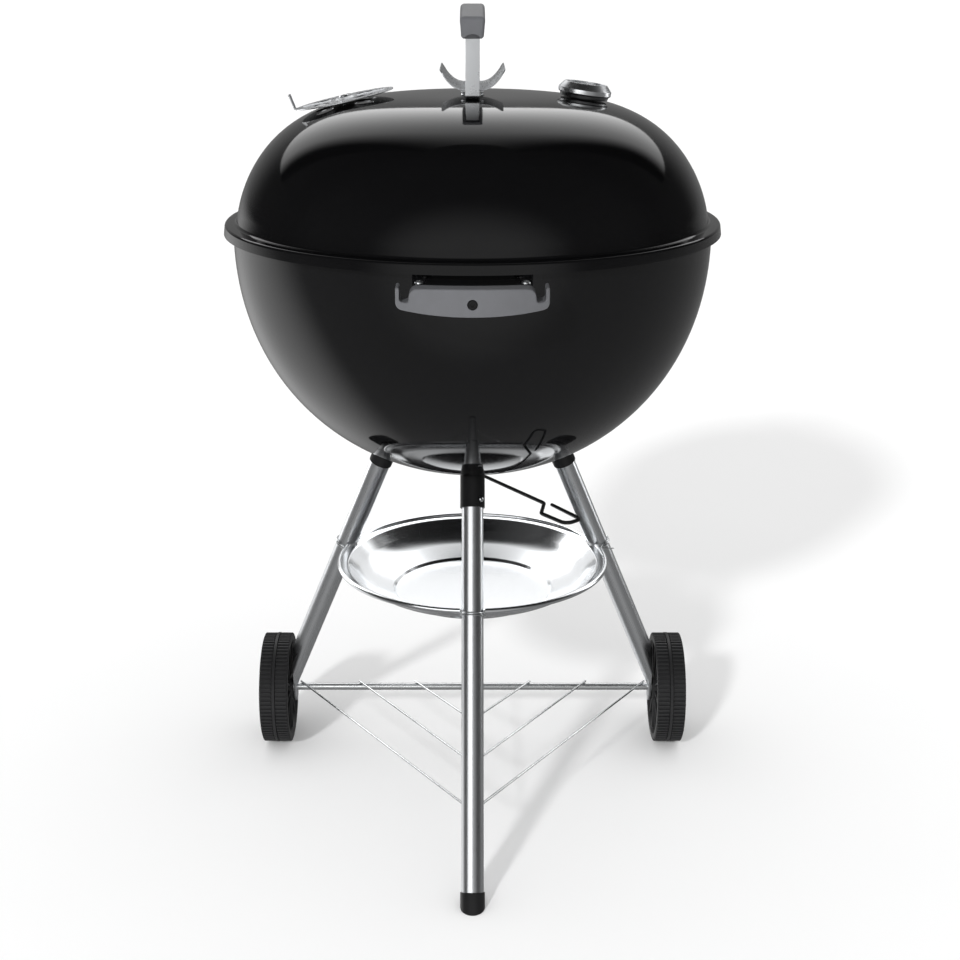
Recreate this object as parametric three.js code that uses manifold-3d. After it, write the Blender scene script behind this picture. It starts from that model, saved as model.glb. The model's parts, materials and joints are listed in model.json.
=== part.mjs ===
// Kettle charcoal grill: an enamelled bowl and lid on three splayed tube legs, two of them on wheels.
// Millimetres, +Z up. Shapes are drawn about the kettle's own vertical axis, and the whole group is
// then moved along Y so that the origin is the middle of the footprint, on the floor.
import * as THREE from "three";
import { mergeVertices } from "three/addons/utils/BufferGeometryUtils.js";
import Module from "manifold-3d";

const wasm = await Module();
wasm.setup();

// ---------------------------------------------------------------- driving dimensions
const GAP = 0.35; // between two pieces that touch on the real object
const SHEET = 1.5; // enamelled steel of the lid and the bowl
const ROUND = 32; // facets round the kettle

// Both shells are superellipses: (height / depth) ^ axial + (radius / rim) ^ radial = 1.
const BOWL = { rim: 283.9, depth: 291.7, axial: 2.0927, radial: 2.0405, level: 723.7 };
const LID = { rim: 280.3, depth: 155.1, axial: 1.7362, radial: 3.8403, level: 730.2 };
const SKIRT = { radius: 295, low: 728.6, high: 740.6, wallEnd: 750 };

const LEG_RADIUS = 13;
const LEG_WALL = 1.5;
const SOCKET_RADIUS = 14.75;
const LEG_LEVEL = 418.6; // height where each leg's radius is given
const FRONT_LEG = { name: "front", azimuth: -90, radius: 103, slope: 0.5366, top: 437, socket: 410, button: 418, flare: 0 };
const REAR_LEG = { azimuth: 21.15, radius: 127.2, slope: 0.4343, top: 443, socket: 418.6, button: 430.6, flare: 2.2 };
const RIGHT_LEG = { ...REAR_LEG, name: "right" };
const LEFT_LEG = { ...REAR_LEG, name: "left", azimuth: 180 - REAR_LEG.azimuth };
const LEGS = [FRONT_LEG, RIGHT_LEG, LEFT_LEG];

const WHEEL = { radius: 75, inner: 248, outer: 287.5, bore: 5.2 };
const AXLE = { y: 99.8, z: WHEEL.radius, radius: 4.75, half: 290 };
const LEG_CUT = 246; // rear legs end on a vertical plane beside the wheel
const FOOT_CAP = { radius: 14.3, high: 16, legEnd: 10 };
const RACK_WIRE = 1.5;

const ASH_PAN = { radius: 172.6, rimLevel: 302.7, floorRadius: 99, floorLevel: 262, sheet: 1.2 };

const HANDLE = { bowRadius: 123, frontY: -360, thick: 20, high: 729, low: 700.6, half: 78 };
const PLATE = { level: 720, sheet: 2.5 };

const STRAP = { footY: 73, width: 16, sheet: 3, top: 966 };
const GRIP = { half: 84, width: 28, low: 951.5, endHigh: 975, crown: 986.5 };
const SHIELD = { half: 37, tip: 917, floor: 894, sheet: 1.2, length: 122 };
const VENT = { x: -149.2, radius: 58.5, lift: 2.2, sheet: 1.2, holeRadius: 10, ring: 34 };
const GAUGE = { x: 130, radius: 31, high: 17, lift: 0.6 };

const GRATE = { radius: 270, level: 688, wire: 2.8, pitch: 38 };
const COALS = { radius: 214, level: 545, wire: 3.6, pitch: 42 };

const PORT_AZIMUTH = 90; // the three ash ports lie between the legs
const SWEEP = { inner: 12, outer: 118, sheet: 1.5, clearance: 2.6, halfAngle: 19, open: 45 };
const SWEEP_SHAFT = 4;
const LEVER_LEVEL = 422;

const BOX_FRONT = HANDLE.frontY; // the handle is the front of the bounding box, the skirt its back
const AXIS_Y = (-BOX_FRONT - SKIRT.radius) / 2;

// ---------------------------------------------------------------- materials
const finish = (color, roughness, metalness) =>
  new THREE.MeshStandardMaterial({ color, roughness, metalness });
const ENAMEL = finish("#0c0c0d", 0.12, 0);
const GREY_PLASTIC = finish("#77797c", 0.5, 0);
const BLACK_PLASTIC = finish("#1c1c1d", 0.6, 0);
const BLACK_STEEL = finish("#141415", 0.45, 0.3);
const ALUMINIUM = finish("#c4c6c8", 0.32, 1);
const CHROME = finish("#dcdee0", 0.12, 1);
const WIRE = finish("#b8babc", 0.25, 1);
const GLASS = finish("#e8eef0", 0.05, 0);
const DIAL_WHITE = finish("#d9dadb", 0.5, 0);

// ---------------------------------------------------------------- solids and placing
const at = (x, y, z) => new THREE.Vector3(x, y, z);
const flat = (x, y) => new THREE.Vector2(x, y);
const radians = THREE.MathUtils.degToRad;

function solid(geometry, place = new THREE.Matrix4()) {
  const loose = geometry.index ? geometry.toNonIndexed() : geometry;
  const shell = new THREE.BufferGeometry();
  shell.setAttribute("position", loose.getAttribute("position").clone());
  const merged = mergeVertices(shell.applyMatrix4(place), 1e-3);
  const index = merged.index.array;
  const corners = [];
  for (let i = 0; i < index.length; i += 3) {
    const [a, b, c] = index.subarray(i, i + 3);
    if (a !== b && b !== c && c !== a) corners.push(a, b, c);
  }
  const build = () =>
    new wasm.Manifold(
      new wasm.Mesh({
        numProp: 3,
        vertProperties: merged.attributes.position.array,
        triVerts: new Uint32Array(corners),
      }),
    );
  const made = build();
  if (made.volume() > 0) return made;
  corners.reverse();
  return build();
}

const joined = (pieces) => pieces.reduce((sum, piece) => sum.add(piece));
const without = (body, cutters) => cutters.reduce((left, cutter) => left.subtract(cutter), body);

function geometryOf(body) {
  const mesh = body.getMesh();
  const geometry = new THREE.BufferGeometry();
  geometry.setAttribute("position", new THREE.BufferAttribute(mesh.vertProperties, 3));
  geometry.setIndex(new THREE.BufferAttribute(mesh.triVerts, 1));
  geometry.computeVertexNormals();
  return geometry;
}

const kettle = new THREE.Group();

function add(name, body, material) {
  const mesh = new THREE.Mesh(geometryOf(body), material);
  mesh.name = name;
  kettle.add(mesh);
}

const moved = (x, y, z) => new THREE.Matrix4().makeTranslation(x, y, z);
const block = (x0, x1, y0, y1, z0, z1) =>
  solid(
    new THREE.BoxGeometry(x1 - x0, y1 - y0, z1 - z0),
    moved((x0 + x1) / 2, (y0 + y1) / 2, (z0 + z1) / 2),
  );

// A matrix that takes +Z to the given direction and the origin to the given point.
function facing(direction, point) {
  const turn = new THREE.Quaternion().setFromUnitVectors(at(0, 0, 1), direction.clone().normalize());
  return new THREE.Matrix4().compose(point, turn, at(1, 1, 1));
}

function rod(from, to, radius, sides = 12) {
  const along = to.clone().sub(from);
  const geometry = new THREE.CylinderGeometry(radius, radius, along.length(), sides);
  geometry.rotateX(Math.PI / 2);
  return solid(geometry, facing(along, from.clone().add(to).multiplyScalar(0.5)));
}

// A solid of revolution about +Z; a profile off the axis is closed on itself.
function turned(profile, segments = ROUND, place = new THREE.Matrix4()) {
  const onAxis = profile[0].x === 0;
  const points = onAxis ? profile : [...profile, profile[0]];
  const geometry = new THREE.LatheGeometry(points, segments);
  geometry.rotateX(Math.PI / 2);
  return solid(geometry, place);
}

// An outline in the XY plane, extruded along +Z.
function prism(outline, depth, place = new THREE.Matrix4()) {
  const shape = outline instanceof THREE.Shape ? outline : new THREE.Shape(outline);
  return solid(new THREE.ExtrudeGeometry(shape, { depth, bevelEnabled: false }), place);
}

// Moves each point of an open line sideways, to the right of its direction, with mitred corners.
function offset(points, distance) {
  return points.map((point, i) => {
    const before = i > 0 ? point.clone().sub(points[i - 1]).normalize() : null;
    const after = i < points.length - 1 ? points[i + 1].clone().sub(point).normalize() : null;
    const [a, b] = [before ?? after, after ?? before];
    const sideways = flat(a.y + b.y, -a.x - b.x).normalize();
    const shift = distance / sideways.dot(flat(a.y, -a.x));
    const result = point.clone().addScaledVector(sideways, shift);
    return point.x === 0 ? result.setX(0) : result;
  });
}

// A line of the given thickness, as a closed outline.
function ribbon(points, thickness) {
  return [...offset(points, -thickness / 2), ...offset(points, thickness / 2).reverse()];
}

// A route through given points, so that an extruded wire has one section at each of them.
class Route extends THREE.Curve {
  constructor(points) {
    super();
    this.points = points;
  }
  getPoint(t) {
    return this.points[Math.round(t * (this.points.length - 1))].clone();
  }
  getPointAt(t) {
    return this.getPoint(t);
  }
  getTangentAt(t) {
    const i = Math.round(t * (this.points.length - 1));
    const before = this.points[Math.max(i - 1, 0)];
    const after = this.points[Math.min(i + 1, this.points.length - 1)];
    return after.clone().sub(before).normalize();
  }
}

function wire(points, radius, sides = 6) {
  const section = new THREE.Shape();
  for (let i = 0; i < sides; i++) {
    const angle = (2 * Math.PI * i) / sides;
    if (i === 0) section.moveTo(radius, 0);
    else section.lineTo(radius * Math.cos(angle), radius * Math.sin(angle));
  }
  const extrudePath = new Route(points);
  return solid(new THREE.ExtrudeGeometry(section, { steps: points.length - 1, extrudePath }));
}

// The corners of a bent wire become short arcs of three points.
function bent(points, reach) {
  return points.flatMap((point, i) => {
    if (i === 0 || i === points.length - 1) return [point];
    const start = point.clone().lerp(points[i - 1], reach / point.distanceTo(points[i - 1]));
    const end = point.clone().lerp(points[i + 1], reach / point.distanceTo(points[i + 1]));
    const middle = start.clone().add(end).multiplyScalar(0.25).addScaledVector(point, 0.5);
    return [start, middle, end];
  });
}

const turnedAbout = (angle) => new THREE.Matrix4().makeRotationZ(angle);

// ---------------------------------------------------------------- shell profiles
function superellipse(shell, fraction, sign) {
  const angle = (fraction * Math.PI) / 2;
  const radius = shell.rim * Math.sin(angle) ** (2 / shell.radial);
  const height = shell.depth * Math.cos(angle) ** (2 / shell.axial);
  return flat(fraction === 0 ? 0 : radius, shell.level + sign * height);
}

function shellHeight(shell, radius, sign) {
  const height = (1 - (radius / shell.rim) ** shell.radial) ** (1 / shell.axial);
  return shell.level + sign * shell.depth * height;
}

function shellRadius(shell, level) {
  const height = Math.abs(level - shell.level) / shell.depth;
  return shell.rim * (1 - height ** shell.axial) ** (1 / shell.radial);
}

// The tilt of the lid's surface at a radius, in radians from level.
function lidSlope(radius) {
  const step = 0.5;
  return Math.atan((shellHeight(LID, radius - step, 1) - shellHeight(LID, radius + step, 1)) / (2 * step));
}

const BOWL_STEPS = 8;
const bowlOuter = Array.from({ length: BOWL_STEPS + 1 }, (_, i) => superellipse(BOWL, i / BOWL_STEPS, -1));
const bowlInner = offset(bowlOuter, -SHEET);

// The bowl as a full body, a little larger, for trimming what is welded to it.
const bowlBody = turned([
  ...offset(bowlOuter, GAP),
  flat(BOWL.rim + GAP, SKIRT.high),
  flat(0, SKIRT.high),
]);

// The room inside the bowl, for trimming what is welded there.
const bowlRoom = turned([
  ...offset(bowlOuter, -SHEET - GAP),
  flat(BOWL.rim - SHEET - GAP, SKIRT.high),
  flat(0, SKIRT.high),
]);

function makeBowl() {
  const top = BOWL.level;
  const rolledRim = [
    flat(BOWL.rim + 0.4, top + 6.1),
    flat(BOWL.rim + 4.7, top + 6.7),
    flat(BOWL.rim + 6.9, top + 8.9),
    flat(BOWL.rim + 6.9, top + 12.3),
    flat(BOWL.rim + 4.7, top + 14.5),
    flat(BOWL.rim + 0.7, top + 14.5),
    flat(BOWL.rim - 1, top + 12.3),
  ];
  const body = turned([...bowlOuter, ...rolledRim, ...bowlInner.reverse()]);
  const ports = [0, 1, 2].map((i) => ashPort(radians(PORT_AZIMUTH + 120 * i)));
  const shaftHole = rod(at(0, 0, 400), at(0, 0, 470), SWEEP_SHAFT + 0.6, 16);
  add("bowl", without(body, [...ports, shaftHole]), ENAMEL);
}

// A slot with round ends along a radius, through the bowl's bottom.
function ashPort(angle) {
  const [from, to, half] = [58, 92, 14];
  const slot = new THREE.Shape();
  slot.absarc(to, 0, half, -Math.PI / 2, Math.PI / 2);
  slot.absarc(from, 0, half, Math.PI / 2, (3 * Math.PI) / 2);
  const geometry = new THREE.ExtrudeGeometry(slot, { depth: 80, bevelEnabled: false, curveSegments: 6 });
  return solid(geometry, turnedAbout(angle).multiply(moved(0, 0, 400)));
}

// ---------------------------------------------------------------- grates and their brackets
function makeBrackets() {
  const wallAt = (level) => shellRadius(BOWL, level) - SHEET - 1.9;
  const ledge = GRATE.level - GRATE.wire * 2.9 - GAP - 1.25;
  const lower = COALS.level - COALS.wire * 2.9 - GAP - 1.25;
  const line = [
    flat(wallAt(ledge + 22), ledge + 22),
    flat(wallAt(ledge + 8), ledge + 8),
    flat(GRATE.radius - 3, ledge),
    flat(GRATE.radius - 18, ledge),
    flat(COALS.radius + 8, lower + 22),
    flat(COALS.radius - 2, lower),
    flat(COALS.radius - 16, lower),
  ];
  const outline = ribbon(line, 2.5);
  const width = 22;
  const stand = new THREE.Matrix4().makeRotationX(Math.PI / 2).setPosition(0, width / 2, 0);
  [45, 135, 225, 315].forEach((azimuth, i) => {
    const place = turnedAbout(radians(azimuth)).multiply(stand);
    add("grate_bracket_" + (i + 1), prism(outline, width, place).intersect(bowlRoom), BLACK_STEEL);
  });
}

// A ring of wire with parallel rods across its top and two cross wires below them.
function wireGrate({ radius, level, wire: thick, pitch }) {
  const ring = solid(new THREE.TorusGeometry(radius - thick, thick, 4, 28), moved(0, 0, level - thick));
  const pieces = [ring];
  const count = Math.floor((radius - pitch * 0.4) / pitch);
  for (let i = -count; i <= count; i++) {
    const half = Math.sqrt((radius - thick) ** 2 - (i * pitch) ** 2);
    const reach = level - thick * 0.4;
    pieces.push(rod(at(i * pitch, -half, reach), at(i * pitch, half, reach), thick, 4));
  }
  for (const y of [-radius / 2.6, radius / 2.6]) {
    const half = Math.sqrt((radius - thick) ** 2 - y ** 2);
    pieces.push(rod(at(-half, y, level - thick * 1.9), at(half, y, level - thick * 1.9), thick * 0.9, 4));
  }
  return joined(pieces);
}

function makeGrates() {
  add("cooking_grate", wireGrate(GRATE), CHROME);
  add("charcoal_grate", wireGrate(COALS), BLACK_STEEL);
}

// ---------------------------------------------------------------- legs, sockets and foot
const legRadiusAt = (leg, level) => leg.radius + (LEG_LEVEL - level) * leg.slope;

function legPoint(leg, level) {
  const angle = radians(leg.azimuth);
  const radius = legRadiusAt(leg, level);
  return at(radius * Math.cos(angle), radius * Math.sin(angle), level);
}

const legTube = (leg, radius, high, low, sides = 16) =>
  rod(legPoint(leg, high), legPoint(leg, low), radius, sides);

// Each snap button stands out of the socket's side, square to the leg.
function buttonAxis(leg) {
  const along = legPoint(leg, 0).sub(legPoint(leg, 1)).normalize();
  const outward = at(Math.cos(radians(leg.azimuth)), Math.sin(radians(leg.azimuth)), 0);
  const square = outward.addScaledVector(along, -outward.dot(along)).normalize();
  return square.applyAxisAngle(along, radians(leg.name === "left" ? 43 : -43));
}

function makeLegs() {
  for (const leg of LEGS) {
    const centre = legPoint(leg, leg.button);
    const outwards = buttonAxis(leg);
    const along = (distance) => centre.clone().addScaledVector(outwards, distance);
    const buttonHole = rod(along(6), along(20), 3.7, 12);
    const low = leg === FRONT_LEG ? FOOT_CAP.legEnd : 40;
    let tube = without(legTube(leg, LEG_RADIUS, leg.top, low), [
      legTube(leg, LEG_RADIUS - LEG_WALL, leg.top + 5, low - 5),
      buttonHole,
      bowlBody,
    ]);
    if (leg !== FRONT_LEG) tube = rearLegEnd(leg, tube);
    add(leg.name + "_leg", tube, ALUMINIUM);

    const collar = legTube(leg, SOCKET_RADIUS + leg.flare, 480, leg.socket + 19);
    const sleeve = legTube(leg, SOCKET_RADIUS, 480, leg.socket);
    const socket = without(leg.flare > 0 ? sleeve.add(collar) : sleeve, [
      legTube(leg, LEG_RADIUS + GAP, 490, leg.socket - 6),
      buttonHole,
      bowlBody,
    ]);
    add(leg.name + "_leg_socket", socket, BLACK_STEEL);

    const button = rod(along(8), along(SOCKET_RADIUS + 2.4), 3.2, 12);
    add(leg.name + "_snap_button", button, CHROME);
  }
}

// A rear leg is cut off beside the wheel and ends in a flat tongue that the axle goes through.
function rearLegEnd(leg, tube) {
  const side = Math.sign(legPoint(leg, 0).x);
  const tongue = new THREE.Shape();
  tongue.absarc(0, 0, 12.5, Math.PI, 2 * Math.PI);
  tongue.lineTo(12.5, 22);
  tongue.lineTo(-12.5, 22);
  const stand = new THREE.Matrix4().makeBasis(at(0, 1, 0), at(0, 0, 1), at(1, 0, 0));
  stand.setPosition(side > 0 ? LEG_CUT - 3.5 : -LEG_CUT, AXLE.y, AXLE.z - 7);
  const plate = prism(tongue, 3.5, stand);
  const beyond = side > 0 ? block(LEG_CUT, 400, 0, 250, 0, 250) : block(-400, -LEG_CUT, 0, 250, 0, 250);
  const axleHole = rod(at(side * 200, AXLE.y, AXLE.z), at(side * 280, AXLE.y, AXLE.z), AXLE.radius + GAP);
  return without(tube.subtract(beyond).add(plate), [axleHole]);
}

function makeFootCap() {
  const cup = legTube(FRONT_LEG, FOOT_CAP.radius, FOOT_CAP.high, -30);
  const pocket = legTube(FRONT_LEG, LEG_RADIUS + GAP, 60, FOOT_CAP.legEnd - GAP);
  const underFloor = block(-60, 60, -420, -240, -80, 0);
  add("front_foot_cap", without(cup, [pocket, underFloor]), BLACK_PLASTIC);
}

// ---------------------------------------------------------------- axle, wheels and rack
function makeAxleAndWheels() {
  const end = at(AXLE.half, AXLE.y, AXLE.z);
  add("axle", rod(end.clone().setX(-AXLE.half), end, AXLE.radius, 12), ALUMINIUM);
  for (const [name, side] of [["right", 1], ["left", -1]]) {
    const place = facing(at(side, 0, 0), at(0, AXLE.y, AXLE.z));
    add(name + "_wheel", turned(wheelProfile(), 24, place), BLACK_PLASTIC);
    const washer = [flat(AXLE.radius + GAP, LEG_CUT + GAP), flat(11, LEG_CUT + GAP)];
    washer.push(flat(11, WHEEL.inner - GAP), flat(AXLE.radius + GAP, WHEEL.inner - GAP));
    add(name + "_axle_washer", turned(washer, 12, place), CHROME);
    add(name + "_hub_cap", turned(hubCapProfile(), 12, place), BLACK_PLASTIC);
  }
}

// Half the wheel's section: radius across, distance from the middle of the grill up.
function wheelProfile() {
  const { radius, inner, outer, bore } = WHEEL;
  return [
    flat(bore, inner),
    flat(17, inner),
    flat(19, inner + 12),
    flat(58, inner + 12),
    flat(63, inner + 1),
    flat(radius - 2.5, inner),
    flat(radius, inner + 2.5),
    flat(radius, outer - 2.5),
    flat(radius - 2.5, outer),
    flat(63, outer - 1),
    flat(58, outer - 12),
    flat(19, outer - 12),
    flat(17, outer - 1),
    flat(bore, outer - 1),
  ];
}

function hubCapProfile() {
  const { outer } = WHEEL;
  return [
    flat(0, AXLE.half + GAP),
    flat(AXLE.radius + GAP, AXLE.half + GAP),
    flat(AXLE.radius + GAP, outer - 1 + GAP),
    flat(13, outer - 1 + GAP),
    flat(12, outer + 3.5),
    flat(7, outer + 5.5),
    flat(0, outer + 6),
  ];
}

function makeRack() {
  const level = AXLE.z + AXLE.radius + RACK_WIRE + GAP;
  const frontEnd = -262;
  const wires = [
    [238, -250],
    [157, -133],
    [80, -15],
  ].map(([halfWidth, apexY]) => {
    const corner = at(0, apexY, level);
    const [left, right] = [-1, 1].map((side) => at(side * halfWidth, AXLE.y + 4, level));
    return wire(bent([left, corner, right], 12), RACK_WIRE);
  });
  const below = level - RACK_WIRE * 1.6;
  wires.push(rod(at(0, frontEnd, below), at(0, AXLE.y - 8, below), RACK_WIRE, 6));
  add("bottom_rack", joined(wires), WIRE);
}

// ---------------------------------------------------------------- ash pan and its clips
function makeAshPan() {
  const { radius, rimLevel, floorRadius, floorLevel, sheet } = ASH_PAN;
  const dish = [
    flat(0, floorLevel),
    flat(floorRadius - 3, floorLevel),
    flat(floorRadius + 2, floorLevel + 3),
    flat(130, floorLevel + 19),
    flat(158, rimLevel - 2.5),
    flat(radius - 4, rimLevel - 1),
  ];
  const bead = [
    flat(radius - 2.5, rimLevel - 3),
    flat(radius, rimLevel - 1.5),
    flat(radius, rimLevel + 1.5),
    flat(radius - 2.5, rimLevel + 3),
    flat(radius - 5, rimLevel + 1.2),
  ];
  const upper = offset(dish.slice(0, -1), -sheet).reverse();
  const pan = turned([...dish, ...bead, ...upper], 28);
  const notches = LEGS.map((leg) => legTube(leg, LEG_RADIUS + 3, 340, 240));
  add("ash_pan", without(pan, notches), ALUMINIUM);
}

// A spring clip is one and a half turns of wire round the leg, just under the pan.
function makeClips() {
  for (const leg of LEGS) {
    const middle = legPoint(leg, leg === FRONT_LEG ? 297 : 301);
    const along = legPoint(leg, 0).sub(legPoint(leg, 1)).normalize();
    const outward = at(Math.cos(radians(leg.azimuth)), Math.sin(radians(leg.azimuth)), 0);
    const square = outward.clone().addScaledVector(along, -outward.dot(along)).normalize();
    const across = along.clone().cross(square);
    const ring = LEG_RADIUS + GAP + 1.4;
    const turns = 1.5;
    const steps = 16;
    const coil = Array.from({ length: steps + 1 }, (_, i) => {
      const angle = 2 * Math.PI * turns * (i / steps - 0.5);
      return middle
        .clone()
        .addScaledVector(square, ring * Math.cos(angle))
        .addScaledVector(across, ring * Math.sin(angle))
        .addScaledVector(along, 4 * (i / steps - 0.5));
    });
    add("ash_clip_" + leg.name, wire(coil, 0.8, 5), WIRE);
  }
}

// ---------------------------------------------------------------- vent sweep
function makeSweep() {
  const { inner, outer, sheet, clearance, halfAngle } = SWEEP;
  const levels = [0, 30, 55, 75, 95, outer];
  const floor = levels.map((radius) => flat(radius, shellHeight(BOWL, radius, -1)));
  const bottom = offset(floor, -(SHEET + clearance));
  const top = offset(floor, -(SHEET + clearance + sheet)).reverse();
  const dish = turned([...bottom, ...top], 24);
  const sector = (angle) => {
    const reach = outer * 1.2;
    const tip = flat(reach * Math.cos(radians(halfAngle)), reach * Math.sin(radians(halfAngle)));
    return prism([flat(0, 0), flat(tip.x, -tip.y), tip], 120, turnedAbout(angle).multiply(moved(0, 0, 400)));
  };
  const hub = rod(at(0, 0, 400), at(0, 0, 520), inner * 1.8, 24);
  const blades = [0, 1, 2].map((i) => sector(radians(PORT_AZIMUTH - SWEEP.open + 120 * i)));
  const fan = joined([...blades, hub]);
  const shaftHole = rod(at(0, 0, 400), at(0, 0, 470), SWEEP_SHAFT + GAP, 16);
  add("sweep_blades", without(dish.intersect(fan), [shaftHole]), BLACK_STEEL);

  const bladeTop = shellHeight(BOWL, 0, -1) + SHEET + clearance + sheet + GAP;
  const shaft = [
    flat(0, LEVER_LEVEL + 2.5 + GAP),
    flat(SWEEP_SHAFT, LEVER_LEVEL + 2.5 + GAP),
    flat(SWEEP_SHAFT, bladeTop + GAP),
    flat(8, bladeTop + GAP),
    flat(7, bladeTop + 3.5),
    flat(0, bladeTop + 4.5),
  ];
  add("sweep_shaft", turned(shaft, 16), CHROME);
  makeLever();
}

// The lever is one wire: straight out from the shaft, then round an open loop for the fingers.
function makeLever() {
  const radius = 2.25;
  const route = bent(
    [
      at(0, 0, LEVER_LEVEL),
      at(85, -124, LEVER_LEVEL),
      at(80, -160, LEVER_LEVEL),
      at(107, -196, LEVER_LEVEL),
      at(125, -180, LEVER_LEVEL),
      at(93, -128, LEVER_LEVEL),
    ],
    7,
  );
  const washer = rod(at(0, 0, LEVER_LEVEL - 2.5), at(0, 0, LEVER_LEVEL + 2.5), 9, 16);
  add("sweep_lever", wire(route, radius, 8).add(washer), BLACK_STEEL);
}

// ---------------------------------------------------------------- front handle
function makeBowlHandle() {
  const { bowRadius, frontY, thick, high, low, half } = HANDLE;
  const outline = [
    flat(0, low - 1.5),
    flat(40, low - 0.6),
    flat(66, low + 0.8),
    flat(74.5, low + 3.5),
    flat(half, low + 8.5),
    flat(half, high - 6.5),
    flat(half - 2.2, high - 5.2),
    flat(half - 4.5, high - 6.5),
    flat(half - 4.5, low + 8),
    flat(half - 9.5, low + 4.8),
    flat(half - 14.3, low + 8),
    flat(half - 14.3, high - 3.5),
    flat(58, high + 1.5),
    flat(30, high - 0.2),
    flat(0, high - 1.2),
  ];
  const mirrored = outline.slice(1, -1).map((point) => flat(-point.x, point.y));
  const front = [...outline, ...mirrored.reverse()];
  const stand = new THREE.Matrix4().makeRotationX(Math.PI / 2).setPosition(0, -250, 0);
  const face = prism(front, 140, stand);
  const centreY = frontY + bowRadius;
  const bow = [
    flat(bowRadius - thick, low - 10),
    flat(bowRadius - 4, low - 10),
    flat(bowRadius, low + 5),
    flat(bowRadius, high - 6),
    flat(bowRadius - 4, high + 10),
    flat(bowRadius - thick, high + 10),
  ];
  const band = turned(bow, 48, moved(0, centreY, 0));
  const screwHole = rod(at(0, frontY - 5, 712), at(0, frontY + thick + 5, 712), 3.3, 12);
  const headRecess = rod(at(0, frontY - 5, 712), at(0, frontY + 3, 712), 5.4, 16);
  add("bowl_handle", without(face.intersect(band), [screwHole, headRecess]), GREY_PLASTIC);
  makeHandlePlate(frontY + thick + GAP);
}

// A folded plate joins the handle to the bowl: a level top, a lip behind the grip and a lip on the bowl.
function makeHandlePlate(backY) {
  const { level, sheet } = PLATE;
  const wallY = -(shellRadius(BOWL, level) - 14);
  const top = block(-48, 48, backY + sheet, wallY, level, level + sheet);
  const ears = block(-61, 61, -312, -300, level, level + sheet);
  const frontLip = block(-28, 28, backY, backY + sheet, level - 17, level + sheet);
  const rearLip = block(-48, 48, wallY - 22, wallY - 2, level - 22, level + sheet);
  const screwHole = rod(at(0, backY - 5, 712), at(0, backY + 12, 712), 3.3, 12);
  const behind = block(-60, 60, wallY - 2, wallY + 40, level - 40, level + 20);
  const gripBack = HANDLE.bowRadius - HANDLE.thick - GAP;
  const round = [flat(gripBack, 680), flat(200, 680), flat(200, 740), flat(gripBack, 740)];
  const grip = turned(round, 48, moved(0, HANDLE.frontY + HANDLE.bowRadius, 0)).subtract(
    block(-250, 250, -315, 100, 600, 800),
  );
  const cutters = [bowlBody, behind, screwHole, grip];
  const plate = without(joined([top, ears, frontLip, rearLip]), cutters);
  const hollow = block(-45.5, 45.5, -400, -289.5, level - 40, level);
  const rear = block(-100, 100, -322, -200, level - 40, level + 20);
  const inner = hollow.intersect(rear);
  add("handle_bracket", plate.subtract(inner), BLACK_STEEL);

  const screw = [
    flat(0, 0),
    flat(4.8, 0),
    flat(4.8, -2.6),
    flat(2.9, -2.6),
    flat(2.9, -32),
    flat(0, -32),
  ];
  const headY = HANDLE.frontY + 0.2;
  add("handle_screw", turned(screw, 16, facing(at(0, -1, 0), at(0, headY, 712))), BLACK_STEEL);
  for (const [name, side] of [["right", 1], ["left", -1]]) {
    const seat = level + sheet + GAP;
    const bolt = [flat(0, seat), flat(5, seat), flat(4.6, seat + 2), flat(2.4, seat + 3.4), flat(0, seat + 3.8)];
    add("handle_bolt_" + name, turned(bolt, 12, moved(side * 54.5, -306, 0)), CHROME);
  }
}

// ---------------------------------------------------------------- lid
const lidFrame = (x, lift) => {
  const slope = lidSlope(Math.abs(x)) * Math.sign(x);
  const normal = at(Math.sin(slope), 0, Math.cos(slope));
  const surface = at(x, 0, shellHeight(LID, Math.abs(x), 1));
  return facing(normal, surface.addScaledVector(normal, lift));
};

function makeLid() {
  const end = (Math.acos(((SKIRT.wallEnd - LID.level) / LID.depth) ** (LID.axial / 2)) * 2) / Math.PI;
  const steps = 8;
  const dome = Array.from({ length: steps + 1 }, (_, i) => superellipse(LID, (end * i) / steps, 1));
  const outer = [
    ...dome,
    flat(LID.rim - 0.8, SKIRT.high + 4.6),
    flat(LID.rim + 2.6, SKIRT.high + 1.2),
    flat(SKIRT.radius - 4, SKIRT.high),
    flat(SKIRT.radius - 1.8, SKIRT.high - 1.8),
    flat(SKIRT.radius, SKIRT.low),
  ];
  const body = turned([...outer, ...offset(outer, SHEET).reverse()]);
  const ventFrame = lidFrame(VENT.x, 0);
  const holes = [45, 135, 225, 315].map((angle) => {
    const place = ventFrame.clone().multiply(turnedAbout(radians(angle)));
    const hole = new THREE.CylinderGeometry(VENT.holeRadius, VENT.holeRadius, 40, 16);
    hole.rotateX(Math.PI / 2);
    return solid(hole, place.multiply(moved(VENT.ring, 0, 0)));
  });
  const rivetHole = throughLid(VENT.x, 3.4);
  const stemHole = throughLid(GAUGE.x, 5.4);
  add("lid", without(body, [...holes, rivetHole, stemHole]), ENAMEL);
}

function throughLid(x, radius) {
  const hole = new THREE.CylinderGeometry(radius, radius, 40, 12);
  hole.rotateX(Math.PI / 2);
  return solid(hole, lidFrame(x, 0));
}

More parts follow.
